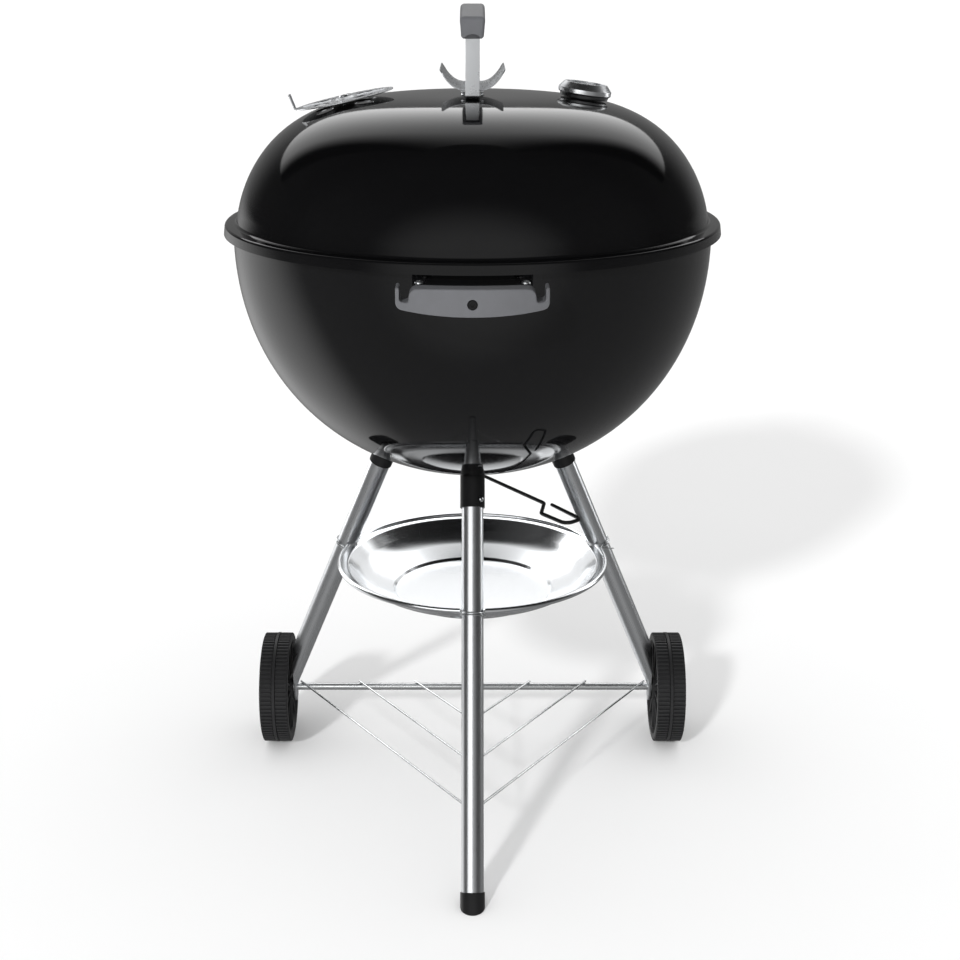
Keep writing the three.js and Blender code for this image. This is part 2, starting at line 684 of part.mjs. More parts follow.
// ---------------------------------------------------------------- lid handle and heat shield
function makeLidHandle() {
  const { footY, width, sheet, top } = STRAP;
  const foot = shellHeight(LID, footY, 1) + GAP + sheet / 2 + 0.3;
  const line = [
    flat(-footY + 16, foot),
    flat(-footY, foot),
    flat(-footY, top),
    flat(footY, top),
    flat(footY, foot),
    flat(footY - 16, foot),
  ];
  // The outline is drawn with Y across and Z up, then stood up along X.
  const stand = new THREE.Matrix4().makeBasis(at(0, 1, 0), at(0, 0, 1), at(1, 0, 0));
  stand.setPosition(-width / 2, 0, 0);
  add("lid_handle_strap", prism(ribbon(line, sheet), width, stand), CHROME);
  makeGrip();
}

function makeGrip() {
  const { half, width, low, endHigh, crown } = GRIP;
  const side = new THREE.Shape();
  side.moveTo(-half, low + 3);
  side.lineTo(-half + 3, low);
  side.lineTo(half - 3, low);
  side.lineTo(half, low + 3);
  side.lineTo(half - 1, endHigh);
  side.quadraticCurveTo(0, 2 * crown - endHigh, -half + 1, endHigh);
  const geometry = new THREE.ExtrudeGeometry(side, {
    depth: width - 8,
    bevelEnabled: true,
    bevelThickness: 4,
    bevelSize: 3,
    bevelOffset: -3,
    bevelSegments: 2,
    curveSegments: 8,
  });
  const stand = new THREE.Matrix4().makeBasis(at(0, 1, 0), at(0, 0, 1), at(1, 0, 0));
  stand.setPosition(-width / 2 + 4, 0, 0);
  const { footY, width: strapWidth, sheet, top } = STRAP;
  const reach = sheet / 2 + GAP;
  const across = strapWidth / 2 + GAP;
  const channel = block(-across, across, -footY - reach, footY + reach, low - 5, top + reach);
  add("lid_handle_grip", solid(geometry, stand).subtract(channel), GREY_PLASTIC);
  // A liner closes the grip from below, between the two legs of the strap.
  const liner = block(-across + GAP, across - GAP, -footY + reach, footY - reach, low, top - reach);
  add("lid_handle_liner", liner, GREY_PLASTIC);
}

function makeShield() {
  const { half, tip, floor, sheet, length } = SHIELD;
  const line = [
    flat(-half, tip),
    flat(-half + 7, floor + 11),
    flat(-half + 17, floor + 2.5),
    flat(0, floor),
    flat(half - 17, floor + 2.5),
    flat(half - 7, floor + 11),
    flat(half, tip),
  ];
  const stand = new THREE.Matrix4().makeRotationX(Math.PI / 2).setPosition(0, length / 2, 0);
  add("heat_shield", prism(ribbon(line, sheet), length, stand), ALUMINIUM);
  for (const [name, side] of [["front", -1], ["back", 1]]) {
    const y = side * 46;
    const low = shellHeight(LID, 46, 1) + GAP;
    const high = floor - sheet / 2 - GAP;
    const foot = [flat(-8, low), flat(8, low), flat(14, high), flat(-14, high)];
    const upright = new THREE.Matrix4().makeRotationX(Math.PI / 2).setPosition(0, y + 4, 0);
    add("shield_bracket_" + name, prism(foot, 8, upright), CHROME);
  }
}

// ---------------------------------------------------------------- air damper
function makeDamper() {
  const { radius, lift, sheet, ring } = VENT;
  const outline = new THREE.Shape();
  outline.absarc(0, 0, radius, 0, 2 * Math.PI);
  const slots = [45, 135, 225, 315].map((angle) => {
    const slot = new THREE.Path();
    const [x, y] = [ring * Math.cos(radians(angle)), ring * Math.sin(radians(angle))];
    slot.absellipse(x, y, 9.5, 13, 0, 2 * Math.PI, true, radians(angle));
    return slot;
  });
  const rivetHole = new THREE.Path();
  rivetHole.absarc(0, 0, 3.4, 0, 2 * Math.PI, true);
  outline.holes = [...slots, rivetHole];
  const frame = lidFrame(VENT.x, lift);
  const disc = solid(
    new THREE.ExtrudeGeometry(outline, { depth: sheet, bevelEnabled: false, curveSegments: 7 }),
    frame,
  );
  const tabLine = [flat(-radius + 6, sheet / 2), flat(-radius - 1, sheet / 2), flat(-radius - 4, 19)];
  const tabStand = new THREE.Matrix4().makeRotationX(Math.PI / 2).setPosition(0, 8, 0);
  const tab = prism(ribbon(tabLine, sheet), 16, frame.clone().multiply(tabStand));
  add("damper_disc", disc.add(tab), ALUMINIUM);

  const topFace = lift + sheet + GAP;
  const rivet = [
    flat(0, -SHEET - 4),
    flat(5, -SHEET - 4),
    flat(5, -SHEET - 2.4),
    flat(3, -SHEET - 2.4),
    flat(3, topFace),
    flat(6, topFace),
    flat(5, topFace + 2),
    flat(0, topFace + 2.6),
  ];
  add("damper_rivet", turned(rivet, 16, lidFrame(VENT.x, 0)), CHROME);
}

// ---------------------------------------------------------------- thermometer
function makeGauge() {
  const { radius, high } = GAUGE;
  const frame = lidFrame(GAUGE.x, GAUGE.lift);
  const bezel = [
    flat(6.2, 0),
    flat(radius - 4, 0),
    flat(radius - 2, 4.5),
    flat(radius, 5.5),
    flat(radius, 10),
    flat(radius - 6, high),
    flat(radius - 9, high),
    flat(radius - 9, high - 3.4),
    flat(radius - 8, high - 3.4),
    flat(radius - 8, 3),
    flat(6.2, 3),
  ];
  add("gauge_bezel", turned(bezel, 20, frame), CHROME);
  const disc = (low, top, across, hole) =>
    turned([flat(hole, low), flat(across, low), flat(across, top), flat(hole, top)], 16, frame);
  add("gauge_dial", disc(8, 9, radius - 8.4, 1.6), DIAL_WHITE);
  const glass = [
    flat(0, high - 5.4),
    flat(radius - 8.4, high - 5.4),
    flat(radius - 8.4, high - 3.8),
    flat(0, high - 3.8),
  ];
  add("gauge_glass", turned(glass, 16, frame), GLASS);
  const point = [flat(-5, -1.6), flat(17, -0.5), flat(17, 0.5), flat(-5, 1.6)];
  const pin = rod(at(0, 0, 7.6), at(0, 0, 9.9), 1.2, 10).transform(frame.elements);
  const lifted = frame.clone().multiply(moved(0, 0, 9.5));
  add("gauge_needle", prism(point, 0.8, lifted).add(pin), BLACK_PLASTIC);
  const stem = [
    flat(0, -60),
    flat(2.6, -58),
    flat(2.6, -16),
    flat(5, -16),
    flat(5, 7.2),
    flat(0, 7.2),
  ];
  add("gauge_probe", turned(stem, 14, frame), CHROME);
  const nut = [flat(6.3, -8.4), flat(10.5, -8.4), flat(10.5, -3.6), flat(6.3, -3.6)];
  add("gauge_nut", turned(nut, 6, frame), CHROME);
}

// A hook inside the lid, for hanging it on the bowl's rim.
function makeLidHook() {
  const x = 215;
  const roof = shellHeight(LID, x, 1) - 22;
  const route = bent(
    [at(x - 34, 0, roof + 6), at(x, 0, roof), at(x + 22, 0, roof - 38), at(x + 2, 0, roof - 66), at(x - 12, 0, roof - 52)],
    8,
  );
  add("lid_hook", wire(route, 2.2, 6), WIRE);
}

makeBowl();
makeBrackets();
makeGrates();
makeLegs();
makeFootCap();
makeAxleAndWheels();
makeRack();
makeAshPan();
makeClips();
makeSweep();
makeBowlHandle();
makeLid();
makeLidHandle();
makeShield();
makeDamper();
makeGauge();
makeLidHook();

kettle.position.y = AXIS_Y;
const root = new THREE.Group();
root.add(kettle);

export default root;
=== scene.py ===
"""The looks of a kettle charcoal grill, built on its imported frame.

Shapes are drawn in millimetres about the kettle's upright axis with the floor at zero. A finished
piece is turned to metres, moved to the frame's own place, and rides with the node it replaces.
"""

import json
import math
from collections import namedtuple

import bmesh
import bpy
from mathutils import Matrix, Vector


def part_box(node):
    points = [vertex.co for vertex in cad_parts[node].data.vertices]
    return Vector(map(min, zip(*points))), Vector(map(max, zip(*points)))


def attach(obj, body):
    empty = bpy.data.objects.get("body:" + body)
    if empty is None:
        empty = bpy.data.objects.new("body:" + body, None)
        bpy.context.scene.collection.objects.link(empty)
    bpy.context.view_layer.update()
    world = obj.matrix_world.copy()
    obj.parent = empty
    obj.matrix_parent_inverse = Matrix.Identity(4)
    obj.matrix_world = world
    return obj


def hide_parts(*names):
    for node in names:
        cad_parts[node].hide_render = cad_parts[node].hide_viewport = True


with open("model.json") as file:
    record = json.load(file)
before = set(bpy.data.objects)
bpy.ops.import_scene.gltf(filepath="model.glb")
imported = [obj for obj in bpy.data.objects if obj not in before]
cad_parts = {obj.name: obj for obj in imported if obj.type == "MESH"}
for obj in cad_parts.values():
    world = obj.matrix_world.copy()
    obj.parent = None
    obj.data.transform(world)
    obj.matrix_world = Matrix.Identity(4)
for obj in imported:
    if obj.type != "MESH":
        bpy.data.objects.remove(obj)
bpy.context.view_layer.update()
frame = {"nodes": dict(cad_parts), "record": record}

# ---------------------------------------------------------------- the frame's own facts
MM = 0.001
record = frame["record"]
BODY_OF = {node: body for body, nodes in record["behaviour"]["bodies"].items() for node in nodes}
bowl_low, bowl_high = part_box("bowl")
KETTLE_Y = (bowl_low.y + bowl_high.y) / 2
TO_FRAME = Matrix.Translation((0, KETTLE_Y, 0)) @ Matrix.Scale(MM, 4)
FROM_FRAME = TO_FRAME.inverted()


def corners_of(node):
    """A node's lowest and highest corners, in millimetres about the kettle's axis."""
    low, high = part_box(node)
    return FROM_FRAME @ low, FROM_FRAME @ high


# ---------------------------------------------------------------- driving dimensions (mm)
GAP = 0.35
SHEET = 1.2
Shell = namedtuple("Shell", "rim depth axial radial level sign")
BOWL = Shell(rim=283.9, depth=291.7, axial=2.0927, radial=2.0405, level=723.7, sign=-1)
LID = Shell(rim=280.3, depth=155.1, axial=1.7362, radial=3.8403, level=730.2, sign=1)
SKIRT = {"radius": 295, "low": 728.6, "high": 740.6, "wall_end": 752}

Leg = namedtuple("Leg", "name azimuth radius slope top socket flare button turn")
LEGS = [
    Leg("front", -90, 103, 0.5366, 437, 410, 0, 418, 43),
    Leg("right", 21.15, 127.2, 0.4343, 443, 418.6, 2.2, 430.6, 43),
    Leg("left", 158.85, 127.2, 0.4343, 443, 418.6, 2.2, 430.6, -43),
]
LEG_RADIUS = 13
LEG_WALL = 1.5
SOCKET_RADIUS = 14.75
LEG_LEVEL = 418.6
FOOT_CAP = {"radius": 14.3, "high": 16, "tube_end": 10}
LEG_CUT = 246

WHEEL = {"radius": 75, "inner": 248, "outer": 287.5, "bore": 5.2}
AXLE = {"y": 99.8, "z": 75, "radius": 4.75, "half": 290}
RACK_WIRE = 1.5
PAN = {"radius": 172.6, "rim": 302.7, "floor_radius": 99, "floor": 262}
HANDLE = {"bow": 123, "front": -360, "thick": 20, "high": 729, "low": 700.6, "half": 78, "screw": 712}
ASH_PORT = {"near": 58, "far": 92, "half": 14}
BUTTON = {"root": 8, "radius": 3.2, "hole": 3.7, "proud": 2.4}
TONGUE = {"half": 12.5, "below": 19.5, "above": 15, "thick": 3.5}
STRAP = {"foot": 73, "width": 16, "sheet": 3, "top": 966}
GRIP = {"half": 84, "width": 28, "low": 951.5, "end": 975, "crown": 986.5}
SHIELD = {"half": 37, "tip": 917, "floor": 894, "sheet": 1.2, "length": 122}
VENT = {"x": -149.2, "radius": 58.5, "lift": 2.2, "sheet": 1.2, "hole": 10, "ring": 34}
GAUGE = {"x": 130, "radius": 31, "high": 17, "lift": 0.6}
LEVER = {"level": 422, "wire": 2.25}
LEVER_ROUTE = [(0, 0), (85, -124), (80, -160), (107, -196), (125, -180), (93, -128)]
COOKING_GRATE = {"radius": 270, "level": 688, "ring": 2.8, "bar": 2.0, "count": 27}
CHARCOAL_GRATE = {"radius": 214, "level": 545, "ring": 3.6, "bar": 3.0, "count": 17}


# ---------------------------------------------------------------- places and lines
def moved(x, y, z):
    return Matrix.Translation((x, y, z))


def swung(degrees, axis="Z"):
    return Matrix.Rotation(math.radians(degrees), 4, axis)


def flat(*points):
    """Points (across, up) in the upright plane that looks along Y."""
    return [Vector((across, 0, up)) for across, up in points]


def rounded(points, radii, steps=6, closed=True):
    """A line through points with its corners turned on arcs. A radius of 0 keeps a corner sharp."""
    if not hasattr(radii, "__len__"):
        radii = [radii] * len(points)
    line = []
    for i, (corner, radius) in enumerate(zip(points, radii)):
        if radius == 0 or (not closed and i in (0, len(points) - 1)):
            line.append(corner)
            continue
        before = (points[i - 1] - corner).normalized()
        after = (points[(i + 1) % len(points)] - corner).normalized()
        half = before.angle(after) / 2
        centre = corner + (before + after).normalized() * radius / math.sin(half)
        start = corner + before * radius / math.tan(half) - centre
        axis = start.cross(corner + after * radius / math.tan(half) - centre)
        for step in range(steps + 1):
            turn = Matrix.Rotation((math.pi - 2 * half) * step / steps, 3, axis)
            line.append(centre + turn @ start)
    return line


def offset(points, distance):
    """An open upright line shifted sideways, to the right of its direction, with mitred corners."""
    shifted = []
    for i, point in enumerate(points):
        after = (points[i + 1] - point).normalized() if i < len(points) - 1 else None
        before = (point - points[i - 1]).normalized() if i > 0 else after
        after = after or before
        side = Vector((before.z + after.z, 0, -before.x - after.x)).normalized()
        shifted.append(point + side * distance / side.dot(Vector((before.z, 0, -before.x))))
    return shifted


def ribbon(points, thickness):
    """A closed outline of even thickness along an open line."""
    return offset(points, -thickness / 2) + offset(points, thickness / 2)[::-1]


def ring_points(radius, count, middle=Vector((0, 0, 0))):
    """Points evenly round a level circle."""
    turns = [2 * math.pi * i / count for i in range(count)]
    ring = [Vector((math.cos(turn), math.sin(turn), 0)) for turn in turns]
    return [middle + radius * way for way in ring]


# ---------------------------------------------------------------- the kettle's own curves
def shell_height(shell, radius):
    rise = (1 - (radius / shell.rim) ** shell.radial) ** (1 / shell.axial)
    return shell.level + shell.sign * shell.depth * rise


def shell_line(shell, steps, end=1.0):
    """The shell's section from its pole towards its rim, in even turns."""
    line = []
    for step in range(steps + 1):
        angle = end * step / steps * math.pi / 2
        across = shell.rim * math.sin(angle) ** (2 / shell.radial)
        rise = shell.depth * math.cos(angle) ** (2 / shell.axial)
        line.append(Vector((across, 0, shell.level + shell.sign * rise)))
    return line


def lid_slope(radius):
    step = 0.5
    fall = shell_height(LID, radius - step) - shell_height(LID, radius + step)
    return math.atan(fall / (2 * step))


def on_lid(x, lift=0.0):
    """The place on the lid at x beside its pole, with Z square to the surface."""
    slope = math.copysign(lid_slope(abs(x)), x)
    normal = Vector((math.sin(slope), 0, math.cos(slope)))
    surface = Vector((x, 0, shell_height(LID, abs(x))))
    return Matrix.Translation(surface + normal * lift) @ Matrix.Rotation(slope, 4, "Y")


def leg_point(leg, level):
    radius = leg.radius + (LEG_LEVEL - level) * leg.slope
    turn = math.radians(leg.azimuth)
    return Vector((radius * math.cos(turn), radius * math.sin(turn), level))


def leg_place(leg, level):
    """The place on a leg's axis at a level: Z runs up the leg and X points outwards."""
    up = (leg_point(leg, 1) - leg_point(leg, 0)).normalized()
    turn = math.radians(leg.azimuth)
    outward = Vector((math.cos(turn), math.sin(turn), 0))
    outward = (outward - up * outward.dot(up)).normalized()
    axes = Matrix((outward, up.cross(outward), up)).transposed().to_4x4()
    return Matrix.Translation(leg_point(leg, level)) @ axes


def leg_length(leg, low, high):
    return (leg_point(leg, high) - leg_point(leg, low)).length


# ---------------------------------------------------------------- shapes
def outlined(points, closed=True):
    shape = bmesh.new()
    corners = [shape.verts.new(point) for point in points]
    for one, other in zip(corners, corners[1:]):
        shape.edges.new((one, other))
    if closed:
        shape.edges.new((corners[-1], corners[0]))
    return shape


def turned(points, steps=96, closed=True):
    """A section turned about the upright axis. An open section starts and ends on the axis."""
    shape = outlined(points, closed)
    section = shape.verts[:] + shape.edges[:]
    whole = {"cent": (0, 0, 0), "axis": (0, 0, 1), "angle": 2 * math.pi, "use_merge": True}
    bmesh.ops.spin(shape, geom=section, steps=steps, **whole)
    bmesh.ops.remove_doubles(shape, verts=shape.verts, dist=0.002)
    bmesh.ops.recalc_face_normals(shape, faces=shape.faces)
    return shape


def solid(points, radii, fineness, steps):
    """A body turned from an upright section that starts and ends on the axis."""
    return turned(rounded(flat(*points), radii, fineness, closed=False), steps, closed=False)


def rim(points, radii, fineness, steps):
    """A ring turned from a closed upright section."""
    return turned(rounded(flat(*points), radii, fineness), steps)


def eased(shape, edges, radius, segments):
    """Rounds the given edges of a shape."""
    settings = {"profile": 0.5, "affect": "EDGES", "material": -1}
    bmesh.ops.bevel(shape, geom=edges, offset=radius, segments=segments, **settings)


def extruded(points, depth, bevel=0.0, segments=3):
    """A closed outline given a depth along Y, the same each way, with its rims rounded."""
    shape = outlined(points)
    face = bmesh.ops.contextual_create(shape, geom=shape.edges[:])["faces"]
    bmesh.ops.translate(shape, verts=shape.verts, vec=(0, -depth / 2, 0))
    made = bmesh.ops.extrude_face_region(shape, geom=face)["geom"]
    far = [part for part in made if isinstance(part, bmesh.types.BMVert)]
    bmesh.ops.translate(shape, verts=far, vec=(0, depth, 0))
    bmesh.ops.recalc_face_normals(shape, faces=shape.faces)
    if bevel:
        reach = {edge: abs(edge.verts[0].co.y - edge.verts[1].co.y) for edge in shape.edges}
        rims = [edge for edge in shape.edges if reach[edge] < depth / 2]
        eased(shape, rims, bevel, segments)
    return shape


def blocked(low, high, bevel=0.0, segments=3):
    """A box between two corners with rounded edges."""
    shape = bmesh.new()
    bmesh.ops.create_cube(shape, size=1)
    low, high = Vector(low), Vector(high)
    bmesh.ops.scale(shape, verts=shape.verts, vec=high - low)
    bmesh.ops.translate(shape, verts=shape.verts, vec=(low + high) / 2)
    if bevel:
        eased(shape, shape.edges[:], bevel, segments)
    return shape


def halved(shape, point, normal, keep_both=False):
    """Cuts a shape along a plane, and drops what lies in front of it unless both parts are kept."""
    geom = shape.verts[:] + shape.edges[:] + shape.faces[:]
    plane = {"plane_co": point, "plane_no": normal, "clear_outer": not keep_both}
    bmesh.ops.bisect_plane(shape, geom=geom, **plane)


def pin(radius, low, high, steps=48):
    """A plain round cutter along Z."""
    return turned(flat((0, low), (radius, low), (radius, high), (0, high)), steps, closed=False)


def wired(points, radius, cyclic=False, fineness=4):
    """Round wire along points, with its free ends rounded over."""
    points = [Vector(point) for point in points]
    thickness = [1.0] * len(points)
    if not cyclic:
        for _ in range(2):
            tip, inward = points[0], points[1]
            backward = (tip - inward).normalized()
            ends = [(math.sin(turn), math.cos(turn)) for turn in (0.5, 1.0, 1.45)]
            points = [tip + backward * radius * (reach - 1) for reach, _ in ends][::-1] + points[1:]
            thickness = [share for _, share in ends][::-1] + thickness[1:]
            points.reverse()
            thickness.reverse()
    curve = bpy.data.curves.new("route", "CURVE")
    curve.dimensions = "3D"
    curve.bevel_depth = radius
    curve.bevel_resolution = fineness
    curve.use_fill_caps = True
    spline = curve.splines.new("POLY")
    spline.points.add(len(points) - 1)
    spline.use_cyclic_u = cyclic
    for knot, point, share in zip(spline.points, points, thickness):
        knot.co = (*point, 1)
        knot.radius = share
    holder = bpy.data.objects.new("route", curve)
    mesh = bpy.data.meshes.new_from_object(holder)
    shape = bmesh.new()
    shape.from_mesh(mesh)
    bpy.data.objects.remove(holder)
    bpy.data.curves.remove(curve)
    bpy.data.meshes.remove(mesh)
    return shape


def placed(shape, place):
    bmesh.ops.transform(shape, matrix=place, verts=shape.verts)
    return shape


def together(*shapes):
    """Several shapes as one."""
    whole = bmesh.new()
    for shape in shapes:
        mesh = bpy.data.meshes.new("part")
        shape.to_mesh(mesh)
        whole.from_mesh(mesh)
        shape.free()
        bpy.data.meshes.remove(mesh)
    return whole


def carved(shape, *cutters, how="DIFFERENCE"):
    """Cuts other shapes out of a shape, or keeps what it shares with them."""
    holders = []
    for each in (shape, *cutters):
        mesh = bpy.data.meshes.new("carving")
        each.to_mesh(mesh)
        each.free()
        holder = bpy.data.objects.new("carving", mesh)
        bpy.context.scene.collection.objects.link(holder)
        holders.append(holder)
    for tool in holders[1:]:
        step = holders[0].modifiers.new("carve", "BOOLEAN")
        step.object = tool
        step.operation = how
        step.solver = "EXACT"
    result = bmesh.new()
    result.from_object(holders[0], bpy.context.evaluated_depsgraph_get())
    for holder in holders:
        bpy.data.meshes.remove(holder.data)
    return result


def around(shape_of, count, start=0.0, axis="Z"):
    """Copies of a shape, evenly turned about an axis."""
    turns = [start + 2 * math.pi * i / count for i in range(count)]
    return together(*[placed(shape_of(), Matrix.Rotation(turn, 4, axis)) for turn in turns])


def piece(name, shape, material, node, replaces=True, crease=35):
    """Finishes a shape as a visible piece that rides as its node does."""
    for face in shape.faces:
        face.smooth = True
    for edge in shape.edges:
        edge.smooth = len(edge.link_faces) == 2 and edge.calc_face_angle(0) < math.radians(crease)
    placed(shape, TO_FRAME)
    mesh = bpy.data.meshes.new(name)
    shape.to_mesh(mesh)
    shape.free()
    mesh.materials.append(material)
    made = bpy.data.objects.new(name, mesh)
    bpy.context.scene.collection.objects.link(made)
    normals = made.modifiers.new("even_normals", "WEIGHTED_NORMAL")
    normals.keep_sharp = True
    if material in BARE_METALS:
        METALS.objects.link(made)
    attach(made, BODY_OF[node])
    if replaces:
        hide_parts(node)
    return made


# ---------------------------------------------------------------- materials
def linear(colour):
    """An sRGB hex colour as linear red, green, blue and alpha."""
    channels = [int(colour[i : i + 2], 16) / 255 for i in (1, 3, 5)]
    return [c / 12.92 if c <= 0.04045 else ((c + 0.055) / 1.055) ** 2.4 for c in channels] + [1.0]


def per(millimetres):
    """A pattern's scale from the size of its features."""
    return 1 / (millimetres * MM)


def surface(name, colour, roughness, metallic=0.0, **more):
    """A material whose shader holds what is the same all over, and its object coordinates."""
    made = bpy.data.materials.new(name)
    made.use_nodes = True
    shader = made.node_tree.nodes["Principled BSDF"].inputs
    shader["Base Color"].default_value = linear(colour)
    shader["Roughness"].default_value = roughness
    shader["Metallic"].default_value = metallic
    for socket, value in more.items():
        shader[socket.replace("_", " ")].default_value = value
    return made, add(made, "TexCoord", {}, "Object")


def add(material, kind, inputs, output=0, **settings):
    """Adds a node, with its settings and inputs, to a material or world and gives one output."""
    node = material.node_tree.nodes.new("ShaderNode" + kind)
    for key, value in settings.items():
        setattr(node, key, value)
    for key, value in inputs.items():
        if isinstance(value, bpy.types.NodeSocket):
            material.node_tree.links.new(value, node.inputs[key])
        else:
            node.inputs[key].default_value = value
    return node.outputs[output]


def into(material, **outputs):
    """Links outputs to the shader's sockets of the same names, and gives the material."""
    shader = material.node_tree.nodes["Principled BSDF"]
    for socket, output in outputs.items():
        material.node_tree.links.new(output, shader.inputs[socket.replace("_", " ")])
    return material


NOISE_RANGE = {"From Min": 0.3, "From Max": 0.7}
COLOURS = {"data_type": "RGBA"}


def porcelain_enamel():
    """Black glass enamel fired on steel sheet: a deep mirror gloss that flows very slightly."""
    made, coords = surface("porcelain_enamel", "#0a0a0b", 0.06, IOR=1.52)
    clouds = add(made, "TexNoise", {"Vector": coords, "Scale": per(38), "Detail": 3}, "Fac")
    gloss = add(made, "MapRange", {"Value": clouds, "To Min": 0.045, "To Max": 0.085, **NOISE_RANGE})
    specks = add(made, "TexNoise", {"Vector": coords, "Scale": per(1.4), "Detail": 4}, "Fac")
    tone = add(made, "Mix", {0: specks, 6: linear("#060607"), 7: linear("#111112")}, 2, **COLOURS)
    waves = add(made, "TexNoise", {"Vector": coords, "Scale": per(11), "Detail": 1}, "Fac")
    flow = add(made, "Bump", {"Height": waves, "Distance": 0.02 * MM, "Strength": 0.5})
    return into(made, Roughness=gloss, Base_Color=tone, Normal=flow)


def moulded_nylon(name, dark, light, roughness):
    """Glass filled nylon from a spark eroded mould: satin, with a fine even grain."""
    made, coords = surface(name, dark, roughness, IOR=1.53)
    fine = {"Scale": per(0.9), "Detail": 5, "Roughness": 0.6}
    grain = add(made, "TexNoise", {"Vector": coords, **fine}, "Fac")
    ends = {"To Min": roughness - 0.06, "To Max": roughness + 0.08}
    satin = add(made, "MapRange", {"Value": grain, **ends, **NOISE_RANGE})
    clouds = add(made, "TexNoise", {"Vector": coords, "Scale": per(16), "Detail": 3}, "Fac")
    tone = add(made, "Mix", {0: clouds, 6: linear(dark), 7: linear(light)}, 2, **COLOURS)
    spark = add(made, "Bump", {"Height": grain, "Distance": 0.06 * MM, "Strength": 0.5})
    return into(made, Roughness=satin, Base_Color=tone, Normal=spark)


def powder_coat():
    """Black powder coat on steel: satin with the fine orange peel of melted powder."""
    made, coords = surface("powder_coated_steel", "#121213", 0.42, IOR=1.5)
    clouds = add(made, "TexNoise", {"Vector": coords, "Scale": per(5), "Detail": 3}, "Fac")
    tone = add(made, "Mix", {0: clouds, 6: linear("#0e0e0f"), 7: linear("#19191a")}, 2, **COLOURS)
    peel = add(made, "TexNoise", {"Vector": coords, "Scale": per(1.3)}, "Fac")
    skin = add(made, "Bump", {"Height": peel, "Distance": 0.05 * MM, "Strength": 0.6})
    return into(made, Base_Color=tone, Normal=skin)


def drawn_aluminium(leg):
    """Anodised aluminium tube, drawn and brushed along its length: fine lines up the leg."""
    made, coords = surface("drawn_aluminium_" + leg.name, "#dcdee0", 0.3, 1.0)
    along = {"Vector": coords, "Rotation": leg_place(leg, 0).to_euler(), "Scale": (1, 1, 40)}
    stretched = add(made, "Mapping", along, vector_type="TEXTURE")
    fine = {"Scale": per(0.7), "Detail": 3, "Roughness": 0.6}
    lines = add(made, "TexNoise", {"Vector": stretched, **fine}, "Fac")
    satin = add(made, "MapRange", {"Value": lines, "To Min": 0.26, "To Max": 0.34, **NOISE_RANGE})
    tone = add(made, "Mix", {0: lines, 6: linear("#d8dadc"), 7: linear("#e4e6e8")}, 2, **COLOURS)
    scratches = add(made, "Bump", {"Height": lines, "Distance": 0.004 * MM, "Strength": 0.3})
    return into(made, Roughness=satin, Base_Color=tone, Normal=scratches)


def spun_aluminium():
    """Aluminium sheet spun to a dish: fine rings round its middle and a satin shine."""
    made, coords = surface("spun_aluminium", "#e6e8ea", 0.17, 1.0)
    centred = add(made, "VectorMath", {0: coords, 1: (0, KETTLE_Y, 0)}, operation="SUBTRACT")
    level = add(made, "VectorMath", {0: centred, 1: (1, 1, 0)}, operation="MULTIPLY")
    radius = add(made, "VectorMath", {0: level}, "Value", operation="LENGTH")
    fine = {"Scale": per(1.1), "Detail": 3}
    rings = add(made, "TexNoise", {"W": radius, **fine}, "Fac", noise_dimensions="1D")
    satin = add(made, "MapRange", {"Value": rings, "To Min": 0.15, "To Max": 0.2, **NOISE_RANGE})
    tone = add(made, "Mix", {0: rings, 6: linear("#e2e4e6"), 7: linear("#eceef0")}, 2, **COLOURS)
    grooves = add(made, "Bump", {"Height": rings, "Distance": 0.0015 * MM, "Strength": 0.3})
    return into(made, Roughness=satin, Base_Color=tone, Normal=grooves)


def rolled_aluminium():
    """Mill finish aluminium sheet: soft rolling lines along its length."""
    made, coords = surface("rolled_aluminium", "#bfc1c3", 0.3, 1.0)
    stretched = add(made, "Mapping", {"Vector": coords, "Scale": (1, 25, 1)}, vector_type="TEXTURE")
    lines = add(made, "TexNoise", {"Vector": stretched, "Scale": per(0.9), "Detail": 3}, "Fac")
    satin = add(made, "MapRange", {"Value": lines, "To Min": 0.24, "To Max": 0.36, **NOISE_RANGE})
    tone = add(made, "Mix", {0: lines, 6: linear("#b2b4b7"), 7: linear("#c8cacc")}, 2, **COLOURS)
    rolling = add(made, "Bump", {"Height": lines, "Distance": 0.012 * MM, "Strength": 0.5})
    return into(made, Roughness=satin, Base_Color=tone, Normal=rolling)


def bright_plate(name, colour, roughness):
    """Nickel or chrome plate on steel: bright, with a faint haze from handling."""
    made, coords = surface(name, colour, roughness, 1.0)
    broad = {"Scale": per(18), "Detail": 4, "Roughness": 0.6}
    haze = add(made, "TexNoise", {"Vector": coords, **broad}, "Fac")
    ends = {"To Min": roughness * 0.7, "To Max": roughness * 1.5}
    polish = add(made, "MapRange", {"Value": haze, **ends, **NOISE_RANGE})
    peel = add(made, "TexNoise", {"Vector": coords, "Scale": per(3.5)}, "Fac")
    plating = add(made, "Bump", {"Height": peel, "Distance": 0.001 * MM, "Strength": 0.3})
    return into(made, Roughness=polish, Normal=plating)


def clear_glass():
    """A pressed glass lens over the dial: clear, with a clean polish."""
    made, coords = surface("clear_glass", "#f4f7f7", 0.02, IOR=1.5, Transmission_Weight=1.0)
    waves = add(made, "TexNoise", {"Vector": coords, "Scale": per(14), "Detail": 1}, "Fac")
    pressing = add(made, "Bump", {"Height": waves, "Distance": 0.004 * MM, "Strength": 0.4})
    return into(made, Normal=pressing)


